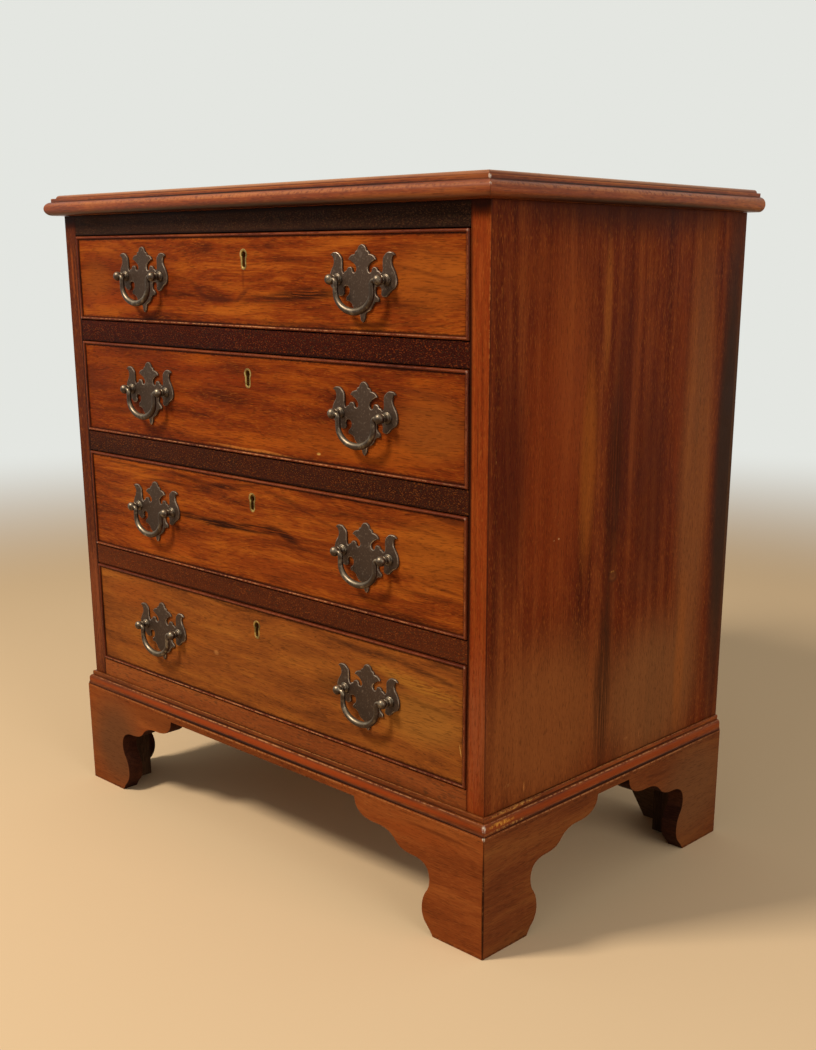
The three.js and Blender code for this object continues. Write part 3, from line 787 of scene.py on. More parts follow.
def mitred_length(sign: int, section: Sequence[Point], corner: Vector, back: float,
                  joint: float) -> list[list[tuple[float, float, float]]]:
    """Gives the end rings of one length of a moulding that runs round the left, front and right of a box.

    Args:
        sign: -1 for the left length, 0 for the front one and 1 for the right one.
        section: each point's distance out from the box and its height above the corner.
        corner: the box's right front corner.
        back: where the two side lengths end.
        joint: how far the lengths stay apart at the mitres.

    Returns:
        The rings.
    """
    half, front, base = corner
    if not sign:
        return [[(way * (half + out - joint), front - out, base + up) for out, up in section]
                for way in (-1, 1)]
    rings = [[(sign * (half + out), front - out + joint if near else back, base + up) for out, up in section]
             for near in (True, False)]
    return rings[::sign]


def dress(node: str, material: Material) -> None:
    """Gives a node of the frame its finish.

    Args:
        node: the node's name.
        material: its finish.
    """
    target = frame["nodes"][node]
    target.data.materials.clear()
    target.data.materials.append(material)
    LOG.info("%s is finished in %s", node, material.name)


@lru_cache(maxsize=None)
def drawn_in(outline: tuple[Point, ...], by: float) -> tuple[Point, ...]:
    """Moves an anticlockwise outline inward, less where it narrows to a tip.

    Args:
        outline: the outline's points.
        by: how far it moves where there is space.

    Returns:
        The moved points.
    """
    points = [Vector(p) for p in outline]
    count = len(points)
    normals = []
    for i in range(count):
        before = (points[i] - points[i - 1]).normalized()
        after = (points[(i + 1) % count] - points[i]).normalized()
        along = (before + after).normalized() if (before + after).length > 0.01 else before
        normals.append(Vector((along.y, -along.x)))

    # The space at a point is the distance to the nearest part of the outline that faces the other way
    facing, wide, share, nearby = -0.2, 10 * by, 0.4, 3
    space = []
    for point, normal in zip(points, normals):
        across = [(q - point).length for q, n in zip(points, normals) if n.dot(normal) < facing
                  and (q - point).dot(normal) < 0]
        space.append(min(across, default=wide))
    moved = []
    for i, (point, normal) in enumerate(zip(points, normals)):
        near = min(space[(i + k) % count] for k in range(-nearby, nearby + 1))
        moved.append(tuple(point - normal * min(by, share * near)))
    return tuple(moved)


@dataclass
class Finishes:
    """The chest's woods and metals, one material to a finish."""

    made: dict[str, Material] = field(default_factory=dict)

    def get(self, finish: Wood | PatinaBrass | FloorPaper) -> Material:
        """Gives a finish's material, building it when it is first asked for.

        Args:
            finish: the finish.

        Returns:
            Its material.
        """
        if finish.name not in self.made:
            self.made[finish.name] = finish.build()
        return self.made[finish.name]


@dataclass
class Case:
    """The case: two sides, the rails and dust boards between them, and the back."""

    finishes: Finishes
    stile: float = 22.0
    rail_depth: float = 60.4
    rails: tuple[tuple[str, Tones, str], ...] = (
        # The top rail's near-black tones are partly a painted shadow of the top's overhang
        ("top_rail", ("120904", "23120a", "372015"), "5a3a26"),
        ("divider_upper", ("150503", "2a0a05", "3e1308"), "8a4018"),
        ("divider_middle", ("180804", "31130a", "4a1d0d"), "8a4c1c"),
        ("divider_lower", ("30120a", "53240f", "703616"), "8c4a1e"),
        ("case_bottom", ("5a2b12", "80421e", "985828"), "9c5c2c"))

    # Rows of distance behind the front, height, half width, half height, colour and strength, and for the
    # dark streaks their slope and how far the fibres break them up
    side_figure: tuple[Row, ...] = (
        (90, 470, 70, 230, "7a300c", 0.45), (30, 460, 34, 140, "3e1105", 0.65),
        (70, 640, 60, 36, "70300e", 0.4), (116, 560, 40, 150, "84401a", 0.4),
        (146, 460, 18, 130, "8e4c18", 0.6), (168, 610, 8, 90, "925220", 0.5),
        (201, 500, 30, 190, "45190a", 0.55), (188, 440, 20, 150, "2a1005", 0.8, -1, 0.07),
        (222, 600, 6, 100, "7a3a1a", 0.35), (250, 430, 44, 150, "451a0a", 0.6),
        (296, 520, 14, 190, "6e2e12", 0.4), (215, 500, 6, 120, "7e3e1c", 0.4),
        (334, 420, 42, 340, "84522c", 0.5), (95, 215, 150, 120, "7e4822", 0.75),
        (270, 205, 120, 115, "764a28", 0.75), (322, 230, 14, 130, "8a4c20", 0.55),
        (182, 235, 20, 150, "331a0c", 0.8, -1, 0.07), (250, 330, 60, 30, "552611", 0.3),
        (392, 430, 30, 400, "2a1e15", 0.9), (404, 430, 4, 400, "4c3320", 0.6),
        # The first row below, 712 high, is a painted shadow of the top's overhang on the side
        (200, 712, 320, 52, "2a120a", 0.8), (12, 300, 8, 150, "4e2410", 0.3))

    # Rows as above, with how far they are broken up: a knot with its ring, and knocks and scratches
    side_knocks: tuple[Row, ...] = (
        (192, 345, 10.5, 8, "2e1509", 0.8, 0.0), (192, 345, 8, 5.8, "6a381a", 0.85, 0.0),
        (192, 346, 4.5, 3.2, "4e2811", 0.7, 0.0), (191, 350, 6, 1.6, "b07a38", 0.8, 0.3),
        (59, 158, 0.8, 8, "b9763a", 0.85, 0.1), (103, 397, 1.6, 1.4, "c09060", 0.9, 0.1),
        (96, 396, 1.5, 1.1, "b88656", 0.8, 0.1), (228, 162, 9, 3, "a06a3a", 0.5, 0.7),
        (251, 161, 1.1, 7, "94582e", 0.7, 0.2), (11, 482, 1.2, 10, "a9743e", 0.6, 0.5),
        (35, 166, 14, 3, "9c6a3a", 0.5, 0.7), (97, 412, 10, 22, "a86c34", 0.35, 0.9))

    # The front edge: rows of distance in from the side, height, half width, half height, colour, strength
    stile_figure: tuple[Row, ...] = (
        (11, 235, 18, 110, "88492a", 0.7), (6, 560, 2.5, 80, "5c240b", 0.5),
        (15, 400, 2.5, 110, "652a0c", 0.5), (9, 640, 4, 40, "98491c", 0.5), (4, 330, 2, 70, "5a260e", 0.5),
        (17, 600, 3, 60, "93471c", 0.4), (12, 500, 1.2, 60, "4c1d0a", 0.6),
        (8, 260, 1.2, 60, "5a2c14", 0.5))

    def side_wood(self, name: str, sign: int) -> Wood:
        """Gives a side's wood: straight upright grain, deep red-brown, with an orange front edge on the right
        and a darker one on the left.

        Args:
            name: the finish's name.
            sign: 1 for the right side, -1 for the left.

        Returns:
            The wood.
        """
        x, y, top = sign * CHEST.side, CHEST.front, CHEST.case_top
        inner = x - sign * self.stile
        foot, deep = CHEST.plinth_top + 16, 15.0
        marks = []

        # The left side, which no photograph shows, has every other one of the broad areas and no knocks
        for behind, up, wide, tall, *look in self.side_figure if sign > 0 else self.side_figure[:16:2]:
            marks.append(Mark((x, y + behind, up), (deep, wide, tall), *look, face=Face.SIDE, wavy=True))
        for behind, up, wide, tall, colour, strength, broken in self.side_knocks if sign > 0 else ():
            marks.append(Mark((x, y + behind, up), (deep, wide, tall), colour, strength, 0.0, broken,
                              Face.SIDE))
        for inset, up, wide, tall, colour, strength in self.stile_figure:
            marks.append(Mark((x - sign * inset, y, up), (wide, 6, tall), colour, strength, 0.0, 0.06,
                              wavy=True))
        # Painted shade in the gap by the drawers, a dark line behind the corner, a pale broken line that is
        # partly wear and partly painted highlight, and a painted shadow of the top's overhang on the stile's
        # top
        marks += [line_mark((inner, y, foot), (inner, y, top), 4.5, "150704", 0.95),
                  line_mark((x, y + 1.2, foot), (x, y + 1.2, top), 1.6, "35140a", 0.7),
                  Mark((x, y, top - 90), (1.1, 1.1, 110), "b06a34", 0.5, broken=0.35),
                  Mark((x - sign * 10, y, top), (30, 3, 17), "1c0b06", 0.9)]

        # Straight waxed boards: long fine stripes and short pores; the front edge is orange on the right and
        # dark brown on the left
        stile = ("5e2409", "7a300f", "944618") if sign > 0 else ("34140a", "4c2010", "64321b")
        return Wood(name, ("3c1205", "5b220b", "7c3e1a"), Grain.ALONG_Z, band=16, band_length=34, ring=9,
                    sway=5, fibre_length=110, pore_length=8, pores=0.32, flecks=0.45, fleck_colour="94521f",
                    contrast=0.72, roughness=0.45, seed=2.0 + sign, marks=tuple(marks), front_tones=stile)

    def build(self) -> None:
        """Dresses the case's nodes and adds the screws of the back."""
        for name, sign in HANDS:
            dress(f"side_{name}", self.finishes.get(self.side_wood(f"waxed_mahogany_{name}_side", sign)))
        for number, (node, tones, speckle) in enumerate(self.rails):
            low, high = box_mm(node)
            # Painted shade along each rail's top edge, under the drawer above, and along its lower edge over
            # the gap below
            dirt_and_shade = [line_mark((low.x, low.y, z), (high.x, low.y, z), width, "100503", strength)
                    for z, width, strength in ((high.z, 5.0, 0.9), (low.z, 2.6, 0.7))]

            # The upper rails show short speckled grain; the lowest is plain long-grained wood
            if node == "case_bottom":
                grain = {"band": 30, "fibre_length": 40, "pore_length": 8, "flecks": 0.3}
            else:
                grain = {"band": 60, "fibre_length": 2.2, "pore_length": 2.0, "flecks": 0.5}
            rail = Wood(f"stained_mahogany_{node}", OAK_TONES, ring=5, pore=1.2, pores=0.5, sway=4,
                        fleck_colour=speckle, contrast=0.6, roughness=0.44, seed=5.0 + number,
                        marks=tuple(dirt_and_shade), front_tones=tones, front_depth=self.rail_depth, **grain)
            dress(node, self.finishes.get(rail))
        dress("back_panel", self.finishes.get(OAK_BACK))
        self.back_screws()

    def back_screws(self) -> None:
        """Adds the steel screws that hold the back panel in the sides' rebates."""
        low, high = box_mm("back_panel")
        radius, rows, margin = 3.6, 5, 7.0
        head = [(radius, -0.1), (radius, 0.25), (0.7 * radius, 0.75), (0.01, 0.85)]
        for name, side in HANDS:
            for row in range(rows):
                up = low.z + (high.z - low.z) * (row + 0.5) / rows
                centre = Vector((side * (high.x - margin), high.y, up))
                add_piece(f"back_screw_{name}_{row + 1}", lathe(head, centre, 20, True), "case",
                          self.finishes.get(STEEL))


@dataclass
class Top:
    """The top: a polished board inside three mitred lengths of moulding."""

    finishes: Finishes
    roll: float = 7.5
    fillet_in: float = 6.6
    fillet_top: float = 18.75
    ovolo_foot: float = 10.9
    ovolo_in: float = 14.6
    board_in: float = 19.0
    joint: float = 0.12

    def profile(self) -> list[Point]:
        """Draws the moulding's section: a roll, a fillet and an ovolo.

        Returns:
            Each point's distance out from the edge, never above zero, and its height above the case.
        """
        roll_steps, ovolo_steps = 18, 8
        high = box_mm("top")[1].z - CHEST.case_top
        end = math.degrees(math.acos((self.roll - self.fillet_in) / self.roll))
        roll = arc((-self.roll, self.roll), (self.roll, self.roll), -90, end, roll_steps)
        radii = (self.ovolo_in - self.ovolo_foot, high - self.fillet_top)
        ovolo = arc((-self.ovolo_in, self.fillet_top), radii, 0, 90, ovolo_steps)
        return [(-self.board_in, 0.0), *roll, (-self.fillet_in, self.fillet_top), *ovolo,
                (-self.board_in, high)]

    def wood(self, name: str, grain: Grain, marks: Sequence[Mark], seed: float) -> Wood:
        """Gives the top's wood for one length: the best kept polish of the chest.

        Args:
            name: the finish's name.
            grain: the way that it runs.
            marks: its marks.
            seed: shift of its pattern.

        Returns:
            The wood.
        """
        return Wood(name, ("451a06", "793611", "9e5c24"), grain, band=18, sway=5, contrast=0.6, pores=0.35,
                    fleck_colour="a8622e", roughness=0.34, specular=0.1, coat=0.2, seed=seed,
                    marks=tuple(marks))

    def lines(self, low: Vector, high: Vector, inward: Vector, along: Vector) -> list[Mark]:
        """Draws one length's dirt and painted shade in the hollows, painted shade underneath and painted
        highlights on its edges.

        Args:
            low: one end of the length's outer lower edge.
            high: its other end.
            inward: the way from the edge to the board.
            along: the way along the edge.

        Returns:
            The marks.
        """
        # Rows of distance in, height and width, then the look: painted shade underneath, painted highlights
        # on the roll, ovolo and fillet, and dirt with painted shade in the hollows
        rows = ((3.6, -0.6, 9.4, "1c0c07", 0.95), (1.4, 12.0, 3.4, "b8703c", 0.5, 0.15),
                (self.ovolo_in - 1.4, 21.2, 3.2, "b08058", 0.7),
                (self.fillet_in + 0.4, 18.4, 1.1, "a4602c", 0.7),
                (self.fillet_in - 0.5, 15.0, 1.9, "180604", 0.95),
                (self.ovolo_foot, 18.9, 1.1, "2a0d06", 0.85))
        marks = []
        for inset, up, *look in rows:
            ends = (end + inward * inset + along * way * inset + Vector((0, 0, up))
                    for end, way in ((low, -1), (high, 1)))
            marks.append(line_mark(*ends, *look))
        return marks

    def build(self) -> None:
        """Builds the board and its mouldings."""
        low, high = box_mm("top")
        base = CHEST.case_top
        section = self.profile()
        # Near-white spots at the corners: painted glints on the mouldings' rounded edges
        moulding_corner_glints = [Mark((x, low.y + inset, base + up), (wide, wide, tall), colour, strength, 0.0, broken,
                      edge=0.6)
                 for x, inset, up, wide, tall, colour, strength, broken in (
                     (high.x - 7, 7, 17.6, 1.8, 3.2, "d8c8b8", 0.9, 0.3),
                     (high.x - 1.4, 1.4, 9.5, 1.5, 5.0, "cdb7a8", 0.8, 0.45),
                     (low.x + 7, 7, 18, 2.2, 2.4, "c9a986", 0.6, 0.3))]
        corner = Vector((high.x, low.y, base))
        across, deep = Vector((1, 0, 0)), Vector((0, 1, 0))
        for name, sign, seed in (("left", -1, 2.0), ("right", 1, 4.0), ("front", 0, 7.5)):
            if sign:
                start = Vector((sign * high.x, low.y, base))
                marks = self.lines(start, start + deep * (high.y - low.y), across * -sign, deep)
            else:
                marks = self.lines(Vector((low.x, low.y, base)), corner, deep, across)
            finish = self.wood(f"polished_mahogany_{name}_edge", Grain.ALONG_Y if sign else Grain.ALONG_X,
                               marks + moulding_corner_glints, seed)
            rings = mitred_length(sign, section, corner, high.y, self.joint)
            add_piece(f"top_moulding_{name}", rings, "case", self.finishes.get(finish),
                      stands_for=("top",))
        inset = self.board_in + self.joint
        rings = box_rings((inset - high.x, low.y + inset, base), (high.x - inset, high.y, high.z))
        rows = ((60, -40, 240, 36, "4a1c0c", 0.5, 4), (-120, 90, 280, 30, "84431f", 0.5, -3),
                (130, 120, 190, 22, "421808", 0.5, 2), (-90, -120, 250, 28, "8a4a22", 0.5, 1))
        figure = [Mark((x, y, high.z), (long, wide, 30), colour, strength, tilt, face=Face.TOP, wavy=True)
                  for x, y, long, wide, colour, strength, tilt in rows]
        finish = self.wood("polished_mahogany_top", Grain.ALONG_X, figure, 12.0)
        add_piece("top_board", rings, "case", self.finishes.get(finish), stands_for=("top",))


@dataclass
class Plinth:
    """The plinth: boards cut into bracket feet, corner blocks and the moulding that covers the joint."""

    finishes: Finishes
    spread: float = 179.0
    apron: float = 118.5
    thick: float = 20.0
    out: float = 8.5
    joint: float = 0.15
    moulding_height: float = 16.7
    block: float = 32.0
    block_gap: float = 3.0
    glue: float = 0.3
    steps: int = 9
    polish: dict[str, float] = field(default_factory=lambda: {
        "band": 16, "contrast": 0.55, "pores": 0.3, "flecks": 0.25})

    # Shares of the spread and the apron's height, and of how far the moulding stands out and rises
    foot: tuple[Curve, ...] = (
        ((0.391, 0.051), (0.425, 0.101)), ((0.47, 0.17), (0.464, 0.3), (0.427, 0.388)),
        ((0.397, 0.44), (0.398, 0.523)), ((0.402, 0.667), (0.514, 0.675)),
        ((0.626, 0.675), (0.662, 0.747)), ((0.704, 0.815), (0.754, 0.831), (0.827, 0.829)),
        ((0.961, 0.829), (0.992, 0.945)), ((1, 1),))
    moulding: tuple[Curve, ...] = (
        ((0.41, 1.0), (0.41, 0.93)), ((0.41, 0.68),), ((0.53, 0.68),), ((0.84, 0.62), (0.82, 0.3)),
        ((0.8, 0.12), (0.9, 0.08)), ((0.9, 0.0),))

    def outline(self, length: float) -> list[Point]:
        """Gives a board's outline with a foot at each end.

        Args:
            length: the board's length.

        Returns:
            The outline, anticlockwise from the first foot's outer corner.
        """
        foot = [(x * self.spread, z * self.apron) for x, z in trace((0.372, 0.0), self.foot, self.steps)]
        mirrored = [(length - x, z) for x, z in reversed(foot)]
        top = CHEST.plinth_top
        return [(0.0, 0.0), *foot, *mirrored, (length, 0.0), (length, top), (0.0, top)]

    def edge_lines(self, start: Point, end: Point, colours: Sequence[str], broken: float) -> list[Mark]:
        """Draws a board's upper edge with dirt and a pale line, partly worn and partly painted highlight, its
        scuffed foot and the front corner.

        Args:
            start: one end of the board's face.
            end: its other end.
            colours: of the dirt, the pale line of wear and painted highlight, the grime under it and the
                foot.
            broken: how far noise breaks the pale line up.

        Returns:
            The marks.
        """
        low, high = box_mm("plinth_front")
        x, y, top = high.x, low.y, CHEST.plinth_top
        rows = ((top, 1.0, 0.7, 0.0), (top - 1.7, 1.1, 0.7, broken), (top - 5, 1.8, 0.6, 0.5),
                (1.5, 3.0, 0.7, 0.2))
        marks = [line_mark((*start, z), (*end, z), width, colour, *look)
                 for (z, width, *look), colour in zip(rows, colours)]
        # At the front corner: a near-white painted glint at the top, the dark mitre, and a pale line, partly
        # wear and partly painted highlight
        return marks + [Mark((x, y, top - 1.5), (2.6, 2.6, 2.6), "e0d2bd", 0.95, edge=0.6, broken=0.1),
                        Mark((x, y, 50), (2.4, 2.4, 90), "1d0c06", 0.85),
                        Mark((x, y, 60), (1.2, 1.2, 58), "a86c3e", 0.7, broken=0.5)]

    def boards(self) -> None:
        """Builds the three boards, mitred at the front corners, and the blocks behind them."""
        low, high = box_mm("plinth_front")
        half, front, top = high.x, low.y, CHEST.plinth_top
        back = box_mm("plinth_right")[1].y
        cut = self.finishes.get(CUT_EDGE)
        patches = [Mark((x, front, z), (wide, 20, tall), colour, strength, wavy=True)
                   for x, z, wide, tall, colour, strength in (
                       (-70, 110, 270, 24, "54280f", 0.6), (60 - half, 60, 80, 80, "5e3c24", 0.85),
                       (half - 90, 104, 70, 10, "8a4218", 0.5), (half - 60, 113, 60, 3, "58260e", 0.6))]

        # Waxed boards that brooms and shoes have scuffed: dull and even, warm in front and cooler at the side
        lines = self.edge_lines((-half, front), (half, front), ("2a1008", "b07848", "3a180a", "3c1e10"), 0.15)
        warm = Wood("waxed_mahogany_front_plinth", ("5c290f", "7e3e19", "985424"), Grain.ALONG_X,
                    fleck_colour="a05f2c", roughness=0.44, seed=14.0, marks=(*lines, *patches), **self.polish)
        rings = [[(x - half + (math.copysign(depth + self.joint, half - x) if x in (0.0, 2 * half) else 0.0),
                   front + depth, z) for x, z in self.outline(2 * half)] for depth in (0.0, self.thick)]
        count = len(rings[0])
        board = add_piece("plinth_board_front", rings, "case", self.finishes.get(warm), ease=0.5,
                          stands_for=("plinth_front",))
        second_finish(board, cut, [*range(count), count + 1])
        lines = self.edge_lines((half, front), (half, back), ("260f08", "a8744a", "33170b", "33190e"), 0.2)
        patch = Mark((half, back - 50, 70), (20, 90, 80), "6a4428", 0.7, wavy=True)
        cool = Wood("waxed_mahogany_side_plinth", ("4a2210", "663418", "7c4922"), Grain.ALONG_Y,
                    fleck_colour="80502a", roughness=0.46, seed=16.0, marks=(*lines, patch), **self.polish)
        for name, sign in HANDS:
            rings = [[(sign * (half - depth), front + (depth + self.joint if y == 0.0 else y), z)
                      for y, z in self.outline(back - front)] for depth in (0.0, self.thick)]
            board = add_piece(f"plinth_board_{name}", rings[::-sign], "case",
                              self.finishes.get(cool), ease=0.5, stands_for=(f"plinth_{name}",))
            second_finish(board, cut, [*range(count), count if sign > 0 else count + 1])
            inner = half - self.thick
            inset = self.thick + self.glue
            for place, y in (("front", front + inset), ("back", back - inset - self.block)):
                xs = sorted((sign * inner, sign * (inner - self.block)))
                rings = box_rings((xs[0], y, self.block_gap), (xs[1], y + self.block, top - self.block_gap))
                add_piece(f"corner_block_{place}_{name}", rings, "case",
                          self.finishes.get(BLOCK_DUST_AND_SHADE), ease=0.6, stands_for=(f"plinth_{name}",))

    def moulding_wood(self, name: str, sign: int, tones: Tones, bead: str, back: float) -> Wood:
        """Gives one length of base moulding its wood: a bright bead between quirks of dirt and painted shade,
        with painted highlights.

        Args:
            name: the side that it runs along.
            sign: -1 for the left, 0 for the front and 1 for the right.
            tones: its colours.
            bead: the colour of its bead.
            back: where the side lengths end.

        Returns:
            The wood.
        """
        half, front, base = CHEST.side, CHEST.front, CHEST.plinth_top
        start = Vector((sign * half if sign else -half, front, base))
        end = Vector((sign * half, back, base)) if sign else Vector((half, front, base))
        away = Vector((sign, 0 if sign else -1, 0))

        # Rows of distance out, height and width, then the look: bead, dirt with painted shade in the quirk
        # and under the bead, a top edge that is partly worn and partly painted highlight, dirt in the top
        # joint, and a painted highlight on the fillet
        rows = ((7.0, 6.2, 4.6, bead, 0.75), (3.6, 12.2, 1.5, "240d06", 0.8), (7.2, 0.9, 1.8, "1d0a05", 0.9),
                (2.6, 17.0, 1.1, "b27a42", 0.75, 0.2), (0.6, 16.9, 1.2, "1d0a05", 0.8),
                (5.4, 11.0, 1.0, "c08858", 0.7, 0.25))
        marks = []
        for out, up, *look in rows:
            shift = away * out + Vector((0, 0, up))
            marks.append(line_mark(start + shift, end + shift, *look))
        # A near-white painted glint on the bead at the front corner
        marks.append(Mark((half + 5.5, front - 5.5, base + 8), (2.4, 2.4, 7), "dccdbc", 0.9, edge=0.6,
                          broken=0.25))

        # Polish is worn to golden wood where the side's moulding nears the front corner
        for out, behind, up, long, tall, *look in (
                (6.5, 18, 7, 26, 3.4, "c08434", 0.9, 0.0, 0.3),
                (3.5, 40, 15, 52, 2.2, "c08c46", 0.8, 0.0, 0.35),
                (7.0, 30, 2, 40, 1.6, "b07c3c", 0.7, 0.0, 0.45)):
            marks.append(Mark((half + out, front + behind, base + up), (5, long, tall), *look))
        return Wood(f"polished_moulding_{name}", tones, Grain.ALONG_Y if sign else Grain.ALONG_X, band=10,
                    ring=3, sway=2, contrast=0.7, pores=0.35, flecks=0.25, roughness=0.36, specular=0.06,
                    coat=0.05, seed=20.0 + sign if sign else 23.0, marks=tuple(marks))

    def mouldings(self) -> None:
        """Builds the three lengths of base moulding, mitred at the front corners."""
        back = box_mm("base_moulding_right")[1].y
        corner = Vector((CHEST.side, CHEST.front, CHEST.plinth_top))
        section = [(self.glue, self.glue), (self.glue, self.moulding_height),
                   *((away * self.out, max(up * self.moulding_height, self.glue))
                     for away, up in trace((0.28, 1.0), self.moulding, self.steps))]
        for name, sign in (*HANDS, ("front", 0)):
            tones = ("4a1e0d", "733515", "8e4a20") if sign else ("481e0c", "663012", "84461c")
            wood = self.moulding_wood(name, sign, tones, "823410" if sign else "963a0e", back)
            rings = mitred_length(sign, section, corner, back, self.joint)
            add_piece(f"base_moulding_length_{name}", rings, "case", self.finishes.get(wood),
                      stands_for=(f"base_moulding_{name}",))

    def build(self) -> None:
        """Builds the plinth and dresses its rear board."""
        self.boards()
        self.mouldings()
        dress("plinth_back", self.finishes.get(BOARD_DUST_AND_SHADE))


@dataclass
class Handle:
    """A willow plate with two turned posts, and the bail that swings between them."""

    finishes: Finishes
    drawer: int
    side: str
    spacing: float = 65.0
    wide: float = 90.0
    high: float = 70.0
    thick: float = 2.2
    bevel: float = 0.8
    reach: float = 17.5
    ball: float = 4.5
    off_face: float = 0.25
    steps: int = 6

    # The plate's right half from its upper tip, in shares of half its width and of its height
    tip: Point = (0.0, 0.45)
    right_half: tuple[Curve, ...] = (
        ((0.102, 0.447), (0.138, 0.371)), ((0.204, 0.374), (0.213, 0.326)),
        ((0.367, 0.323), (0.409, 0.256)), ((0.278, 0.237), (0.182, 0.169)),
        ((0.153, 0.137), (0.184, 0.109)), ((0.231, 0.074), (0.284, 0.106)),
        ((0.293, 0.166), (0.364, 0.164)), ((0.451, 0.161), (0.458, 0.117)),
        ((0.516, 0.117), (0.547, 0.084)), ((0.604, 0.089), (0.607, 0.15)), ((0.607, 0.243),),
        ((0.609, 0.293), (0.658, 0.309)), ((0.722, 0.361), (0.822, 0.353)),
        ((0.922, 0.351), (0.956, 0.31)), ((0.873, 0.314), (0.853, 0.246)),
        ((0.842, 0.197), (0.911, 0.146)), ((1.004, 0.064), (1.0, -0.02)),
        ((0.996, -0.086), (0.922, -0.114)), ((0.833, -0.136), (0.778, -0.174)),
        ((0.7, -0.231), (0.604, -0.211)), ((0.54, -0.197), (0.564, -0.157)),
        ((0.582, -0.084), (0.482, -0.08)), ((0.369, -0.077), (0.382, -0.151)),
        ((0.391, -0.194), (0.458, -0.214)), ((0.516, -0.247), (0.462, -0.28)),
        ((0.391, -0.269), (0.311, -0.317)), ((0.271, -0.389), (0.156, -0.411)),
        ((0.08, -0.427), (0.071, -0.48)), ((0.062, -0.531), (0.0, -0.55)))

    def centre(self) -> Vector:
        """Finds the handle's place from the bail's hinge.

        Returns:
            The point between the posts on the drawer's face.
        """
        name = f"drawer_{self.drawer}_bail_{self.side}_hinge"
        hinge = next(joint for joint in frame["joints"] if joint["name"] == name)
        x, _, z = hinge["pos_m"]
        return Vector((x / MM, CHEST.front, z / MM))

    def plate(self, centre: Vector) -> None:
        """Builds the flat plate with its rounded rim, paler from rubbing and a painted highlight.

        Args:
            centre: the point between the posts on the drawer's face.
        """
        path = trace(self.tip, self.right_half, self.steps)
        half = [(x * self.wide / 2, z * self.high) for x, z in path]
        outline = tuple([(-x, z) for x, z in half[1:-1]] + half[::-1])

        # The rim rises off the drawer, then rounds over in two short steps to the flat face
        first = 0.3 * self.bevel
        levels = ((0.0, self.off_face), (0.0, self.thick - self.bevel), (first, self.thick - first),
                  (self.bevel, self.thick))
        rings = [[centre + Vector((x, -out, z)) for x, z in (drawn_in(outline, inset) if inset else outline)]
                 for inset, out in levels]
        piece = add_piece(f"willow_plate_{self.drawer}_{self.side}", rings, f"drawer_{self.drawer}",
                          self.finishes.get(PLATE_BRASS), smooth=28.0,
                          stands_for=(f"drawer_{self.drawer}_plate_{self.side}",))
        # The rim takes a paler finish of wear and painted highlight
        second_finish(piece, self.finishes.get(RIM_BRASS), range(len(outline), 3 * len(outline)))

    def posts(self, centre: Vector) -> None:
        """Turns the two posts, with their flanges, collars and balls, and the nuts inside the drawer.

        Args:
            centre: the point between the posts on the drawer's face.
        """
        # Radius and distance off the drawer: the shank, the flange, the neck with its collar, and the ball
        pivot = self.reach - self.ball
        ball = arc((0.0, pivot), (5.0, self.ball), -42, 88, 14)
        flange = arc((4.4, 3.2), (1.3, 1.0), -50, 90, 6)
        collar = arc((3.6, 9.2), (0.7, 0.6), -90, 90, 6)
        post = [(0.01, -24.3), (2.5, -24.3), (2.5, 1.0), (4.8, 1.0), (5.5, 1.9), *flange, (3.8, 4.6),
                (3.4, 5.6), (3.3, 7.4), (3.5, 8.3), *collar, (3.5, 9.9), *ball, (0.01, self.reach)]
        nut = [(0.01, -24.6), (4.4, -24.6), (5.4, -24.0), (5.4, -21.0), (4.4, -20.35), (0.01, -20.35)]
        body, brass = f"drawer_{self.drawer}", self.finishes.get(BAIL_BRASS)
        for name, side in HANDS:
            foot = centre + Vector((side * self.spacing / 2, 0.0, 0.0))
            ending = f"{self.drawer}_{self.side}_{name}"
            add_piece(f"handle_post_{ending}", lathe(post, foot, 28), body, brass, smooth=40.0,
                      stands_for=(f"{body}_plate_{self.side}",))
            add_piece(f"post_nut_{ending}", lathe(nut, foot, 6), body, brass, smooth=20.0)

    def bail(self, centre: Vector) -> None:
        """Sweeps the bail: pins, bends, legs and the swelling bow.

        Args:
            centre: the point between the posts on the drawer's face.
        """
        # The legs' place and length, the bends' radius and how low the bow hangs, then the three thicknesses
        leg, drop, top, bend = 24.3, 28.5, 7.5, 3.2
        pin, rod, belly = 2.0, 2.6, 3.3
        bend_steps, leg_steps, bow_steps, sides = 8, 4, 20, 20
        bow = bend + top
        half = [(self.spacing / 2 - self.ball + 3, 0.0, pin)]
        for i in range(bend_steps + 1):
            angle = math.radians(90 * i / bend_steps)
            half.append((leg + bend * (1 - math.sin(angle)), -bend * (1 - math.cos(angle)),
                         pin + (rod - pin) * i / bend_steps))
        half += [(leg, -bend - top * i / leg_steps, rod) for i in range(1, leg_steps)]
        for i in range(bow_steps):
            angle = math.radians(90 * i / bow_steps)
            half.append((leg * math.cos(angle), -bow - (drop - bow) * math.sin(angle),
                         rod + (belly - rod) * math.sin(angle)))
        stations = half + [(0.0, -drop, belly)] + [(-x, z, r) for x, z, r in reversed(half)]
        pivot = centre + Vector((0.0, self.ball - self.reach, 0.0))
        across = Vector((0.0, 1.0, 0.0))
        rings = []
        for i, (x, z, radius) in enumerate(stations):
            before, after = stations[max(i - 1, 0)], stations[min(i + 1, len(stations) - 1)]
            outward = across.cross(Vector((after[0] - before[0], 0.0, after[1] - before[1])).normalized())
            middle = pivot + Vector((x, 0.0, z))
            rings.append([middle + (outward * math.cos(a) + across * math.sin(a)) * radius
                          for a in (2 * math.pi * k / sides for k in range(sides))])
        name = f"drawer_{self.drawer}_bail_{self.side}"
